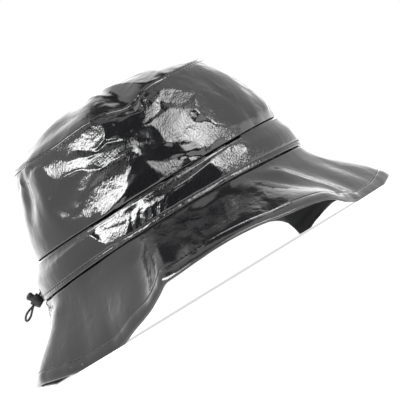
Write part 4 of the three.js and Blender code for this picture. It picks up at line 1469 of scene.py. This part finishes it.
def makeStitches(name, line, normals):
    # Each stitch is a round thread that arches from hole to hole, repeated at even steps of the line: it
    # rises as one minus u squared, and its radius goes as the root of one minus u to the power 4.
    s = stitch
    closed = np.concatenate([line, line[:1]])
    lengths = np.concatenate([[0], np.cumsum(np.linalg.norm(np.diff(closed, axis=0), axis=1))])
    count = round(lengths[-1] / cloth["seamPitch"])
    steps = (np.arange(count) + 0.5) * lengths[-1] / count
    around = np.concatenate([normals, normals[:1]])

    def along(values, at):
        # Values at these lengths of the closed line, by straight lines between its points.
        return np.stack([np.interp(at, lengths, values[:, k]) for k in range(3)], -1)

    centre = along(closed, steps)
    after, before = [along(closed, np.mod(steps + shift, lengths[-1])) for shift in (0.5, -0.5)]
    ahead = unit(after - before)
    up = unit(along(around, steps))
    side = unit(np.cross(ahead, up))
    u = np.linspace(-1, 1, s["rings"])
    width = s["thickness"] / 2 * np.sqrt(np.maximum(1 - u**4, 0.02))
    rise = s["arch"] * (1 - u**2) + s["sink"]
    turn = np.linspace(0, 2 * np.pi, s["sides"], endpoint=False)
    middle = (
        centre[:, None] + ahead[:, None] * (u * s["length"] / 2)[None, :, None]
        + up[:, None] * rise[None, :, None]
    )
    tube = (
        middle[:, :, None] + side[:, None, None] * (width[:, None] * np.cos(turn))[None, :, :, None]
        + up[:, None, None] * (width[:, None] * np.sin(turn))[None, :, :, None]
    )
    each = s["rings"] * s["sides"]
    one = gridFaces(0, s["rings"], s["sides"])
    ends = [list(range(s["sides"]))[::-1], list(range(each - s["sides"], each))]
    shift = (np.arange(count) * each)[:, None, None]
    faces = (np.array(one)[None] + shift).reshape(-1, 4).tolist()
    faces += (np.array(ends)[None] + shift).reshape(-1, s["sides"]).tolist()
    uv = np.stack(np.broadcast_arrays(u[:, None] * s["length"], turn[None] / (2 * np.pi)), -1)
    uv = np.broadcast_to(uv[None], (count, *uv.shape))
    piece = makePiece(name, tube, faces, "hat", uv, finishes=[threadFinish])


for name, seam in (
    ("stitches_under_tip_seam", "underTip"), ("stitches_over_tip_seam", "overTip"),
    ("stitches_of_band", "band"), ("stitches_of_hem", "hem"),
):
    makeStitches(name, *seamLines[seam])
print("stitches made")


# Floor, light and surroundings

studio = {
    "floorSize": 8.0,
    "floorColour": "#cfcfcd",
    "floorGlow": 0.7,         # the floor is opal acrylic, lit softly from below
    "walls": 0.79,            # brightness of the pale room that the film mirrors
    "backdrop": 1.7,          # brightness of the lit wall behind the hat, low down
    "dark": 0.02,             # brightness of the black screens and of the ceiling
    "screens": (12, 31, 41),  # degrees round: their middle, and how far out they are whole and end
    "screenTop": (64, 74),    # degrees up: where the screens start to end and have ended
    "ceilingShade": 0.05,     # the ceiling behind the hat is this part of the walls
    "ceiling": (44, 51),      # degrees up: where the ceiling starts and is whole
    # the next six are parts of a direction of length 1: how far right the ceiling's bright gap has its
    # middle and how far from there it ends, how far back the bright front ends, and how far back the
    # backdrop starts and how far up and right it ends
    "gapMiddle": 0.18,
    "gapEnd": (0.15, 0.27),
    "frontEnd": (0, 0.15),
    "backdropBack": (0.25, 0.8),
    "backdropUp": (0.35, 0.85),
    "backdropRight": (0.3, 0.55),
    "aimHeight": 0.08,        # metres over the floor that the lamps aim at
    # degrees round and up from the hat, metres away, metres wide and high, and brightness
    "lights": tableOf(
        "name round up distance width height bright",
        ("barLeft", -37, 37, 1.4, 1.1, 0.28, 14),
        ("boxRight", 40.5, 32.5, 1.4, 1.05, 0.62, 5),
        ("boxRightLow", 53, 19, 1.4, 0.54, 0.36, 8.5),
    ),
}


def makeFloor():
    # One square under the hat. Opal acrylic, cast and dull, lit from below: an even pale glow.
    half = studio["floorSize"] / 2
    mesh = bpy.data.meshes.new("floor")
    corners = [(-half, -half, 0), (half, -half, 0), (half, half, 0), (-half, half, 0)]
    mesh.from_pydata(corners, [], [(0, 1, 2, 3)])
    material, tree = newMaterial("opalAcrylicFloor")
    place = addNode(tree, "ShaderNodeTexCoord").outputs["Object"]
    uneven = addNode(tree, "ShaderNodeTexNoise", {"Scale": 1 / (4 * mm), "Detail": 2.0}, {"Vector": place})
    relief = addNode(tree, "ShaderNodeBump", {"Strength": 0.1, "Distance": 0.1 * mm}, {
        "Height": uneven.outputs["Fac"],
    })
    shader = addNode(tree, "ShaderNodeBsdfPrincipled", {
        "Base Color": fromHex(studio["floorColour"]), "Roughness": 0.85, "Specular IOR Level": 0.2,
        "Emission Color": (1, 1, 1, 1), "Emission Strength": studio["floorGlow"],
    }, {"Normal": relief.outputs["Normal"]})
    finishMaterial(tree, shader)
    mesh.materials.append(material)
    floor = bpy.data.objects.new("floor", mesh)
    bpy.context.scene.collection.objects.link(floor)


def makeSurroundings():
    # A pale room with black screens on the camera's side, a dark ceiling and a lit wall behind. The
    # camera itself sees a white backdrop.
    s = studio
    world = bpy.data.worlds.new("studio")
    world.use_nodes = True
    tree = world.node_tree
    tree.nodes.clear()
    way = addNode(tree, "ShaderNodeTexCoord").outputs["Generated"]
    middle, *screenEnd = [math.radians(a) for a in s["screens"]]
    screenTop, ceiling = [[math.sin(math.radians(a)) for a in s[name]] for name in ("screenTop", "ceiling")]
    # Each row makes a value from numbers and from values made before it: by a step of arithmetic, or by a
    # fade, which goes softly from one number to another while its value goes from one limit to the other.
    values = dict(zip("xyz", addNode(tree, "ShaderNodeSeparateXYZ", links={0: way}).outputs))
    for name, step, *parts in (
        ("toCamera", "MULTIPLY", "y", -1),
        ("around", "ARCTAN2", "x", "toCamera"),
        ("turned", "SUBTRACT", "around", middle),
        ("off", "ABSOLUTE", "turned"),
        ("pastScreens", "fade", "off", *screenEnd, 0, 1),
        ("overScreens", "fade", "z", *screenTop, 0, 1),
        ("noScreen", "MAXIMUM", "pastScreens", "overScreens"),
        ("fromGap", "SUBTRACT", "x", s["gapMiddle"]),
        ("besideGap", "ABSOLUTE", "fromGap"),
        ("beside", "fade", "besideGap", *s["gapEnd"], 0, 1),
        ("under", "fade", "z", *ceiling, 1, s["ceilingShade"]),
        ("before", "fade", "y", *s["frontEnd"], 1, 0),
        ("noCeiling", "MAXIMUM", "beside", "before"),
        ("openAbove", "MAXIMUM", "noCeiling", "under"),
        ("wallShare", "MULTIPLY", "noScreen", "openAbove"),
        ("back", "fade", "y", *s["backdropBack"], 0, 1),
        ("low", "fade", "z", *s["backdropUp"], 1, 0),
        ("left", "fade", "x", *s["backdropRight"], 1, 0),
        ("lowBack", "MULTIPLY", "back", "low"),
        ("backdropShare", "MULTIPLY", "lowBack", "left"),
        ("extra", "MULTIPLY", "backdropShare", s["backdrop"] - s["walls"]),
        ("pale", "ADD", "extra", s["walls"]),
        ("lit", "MULTIPLY", "wallShare", "pale"),
        ("bright", "ADD", "lit", s["dark"]),
    ):
        if step == "fade":
            limits = dict(zip(("From Min", "From Max", "To Min", "To Max"), parts[1:]))
            node = addNode(tree, "ShaderNodeMapRange", {"interpolation_type": "SMOOTHSTEP", **limits},
                           {"Value": values[parts[0]]})
        else:
            numbers = {k: part for k, part in enumerate(parts) if not isinstance(part, str)}
            links = {k: values[part] for k, part in enumerate(parts) if isinstance(part, str)}
            node = addNode(tree, "ShaderNodeMath", {"operation": step, **numbers}, links)
        values[name] = node.outputs[0]
    room = addNode(tree, "ShaderNodeBackground", {"Color": (1, 1, 1, 1)}, {
        "Strength": values["bright"],
    })
    seen = addNode(tree, "ShaderNodeBackground", {"Color": (1, 1, 1, 1), "Strength": 1.0})
    path = addNode(tree, "ShaderNodeLightPath")
    both = addNode(tree, "ShaderNodeMixShader", links={
        0: path.outputs["Is Camera Ray"], 1: room.outputs[0], 2: seen.outputs[0],
    })
    addNode(tree, "ShaderNodeOutputWorld", links={"Surface": both.outputs[0]})
    bpy.context.scene.world = world


def makeLights():
    # Even panels that face the hat from their direction and distance. Such a panel sends out pi times its
    # brightness times its area.
    aim = Vector((0, 0, studio["aimHeight"]))
    for lamp in studio["lights"]:
        a, e = math.radians(lamp["round"]), math.radians(lamp["up"])
        back = Vector((math.sin(a) * math.cos(e), -math.cos(a) * math.cos(e), math.sin(e)))
        data = bpy.data.lights.new(lamp["name"], "AREA")
        data.shape = "RECTANGLE"
        data.size, data.size_y = lamp["width"], lamp["height"]
        data.energy = lamp["bright"] * math.pi * lamp["width"] * lamp["height"]
        light = bpy.data.objects.new(lamp["name"], data)
        light.location = aim + back * lamp["distance"]
        light.rotation_mode = "QUATERNION"
        light.rotation_quaternion = (-back).to_track_quat("-Z", "Y")
        bpy.context.scene.collection.objects.link(light)


makeFloor()
makeSurroundings()
makeLights()
bpy.context.scene.view_settings.view_transform = "Standard"
print("studio made")
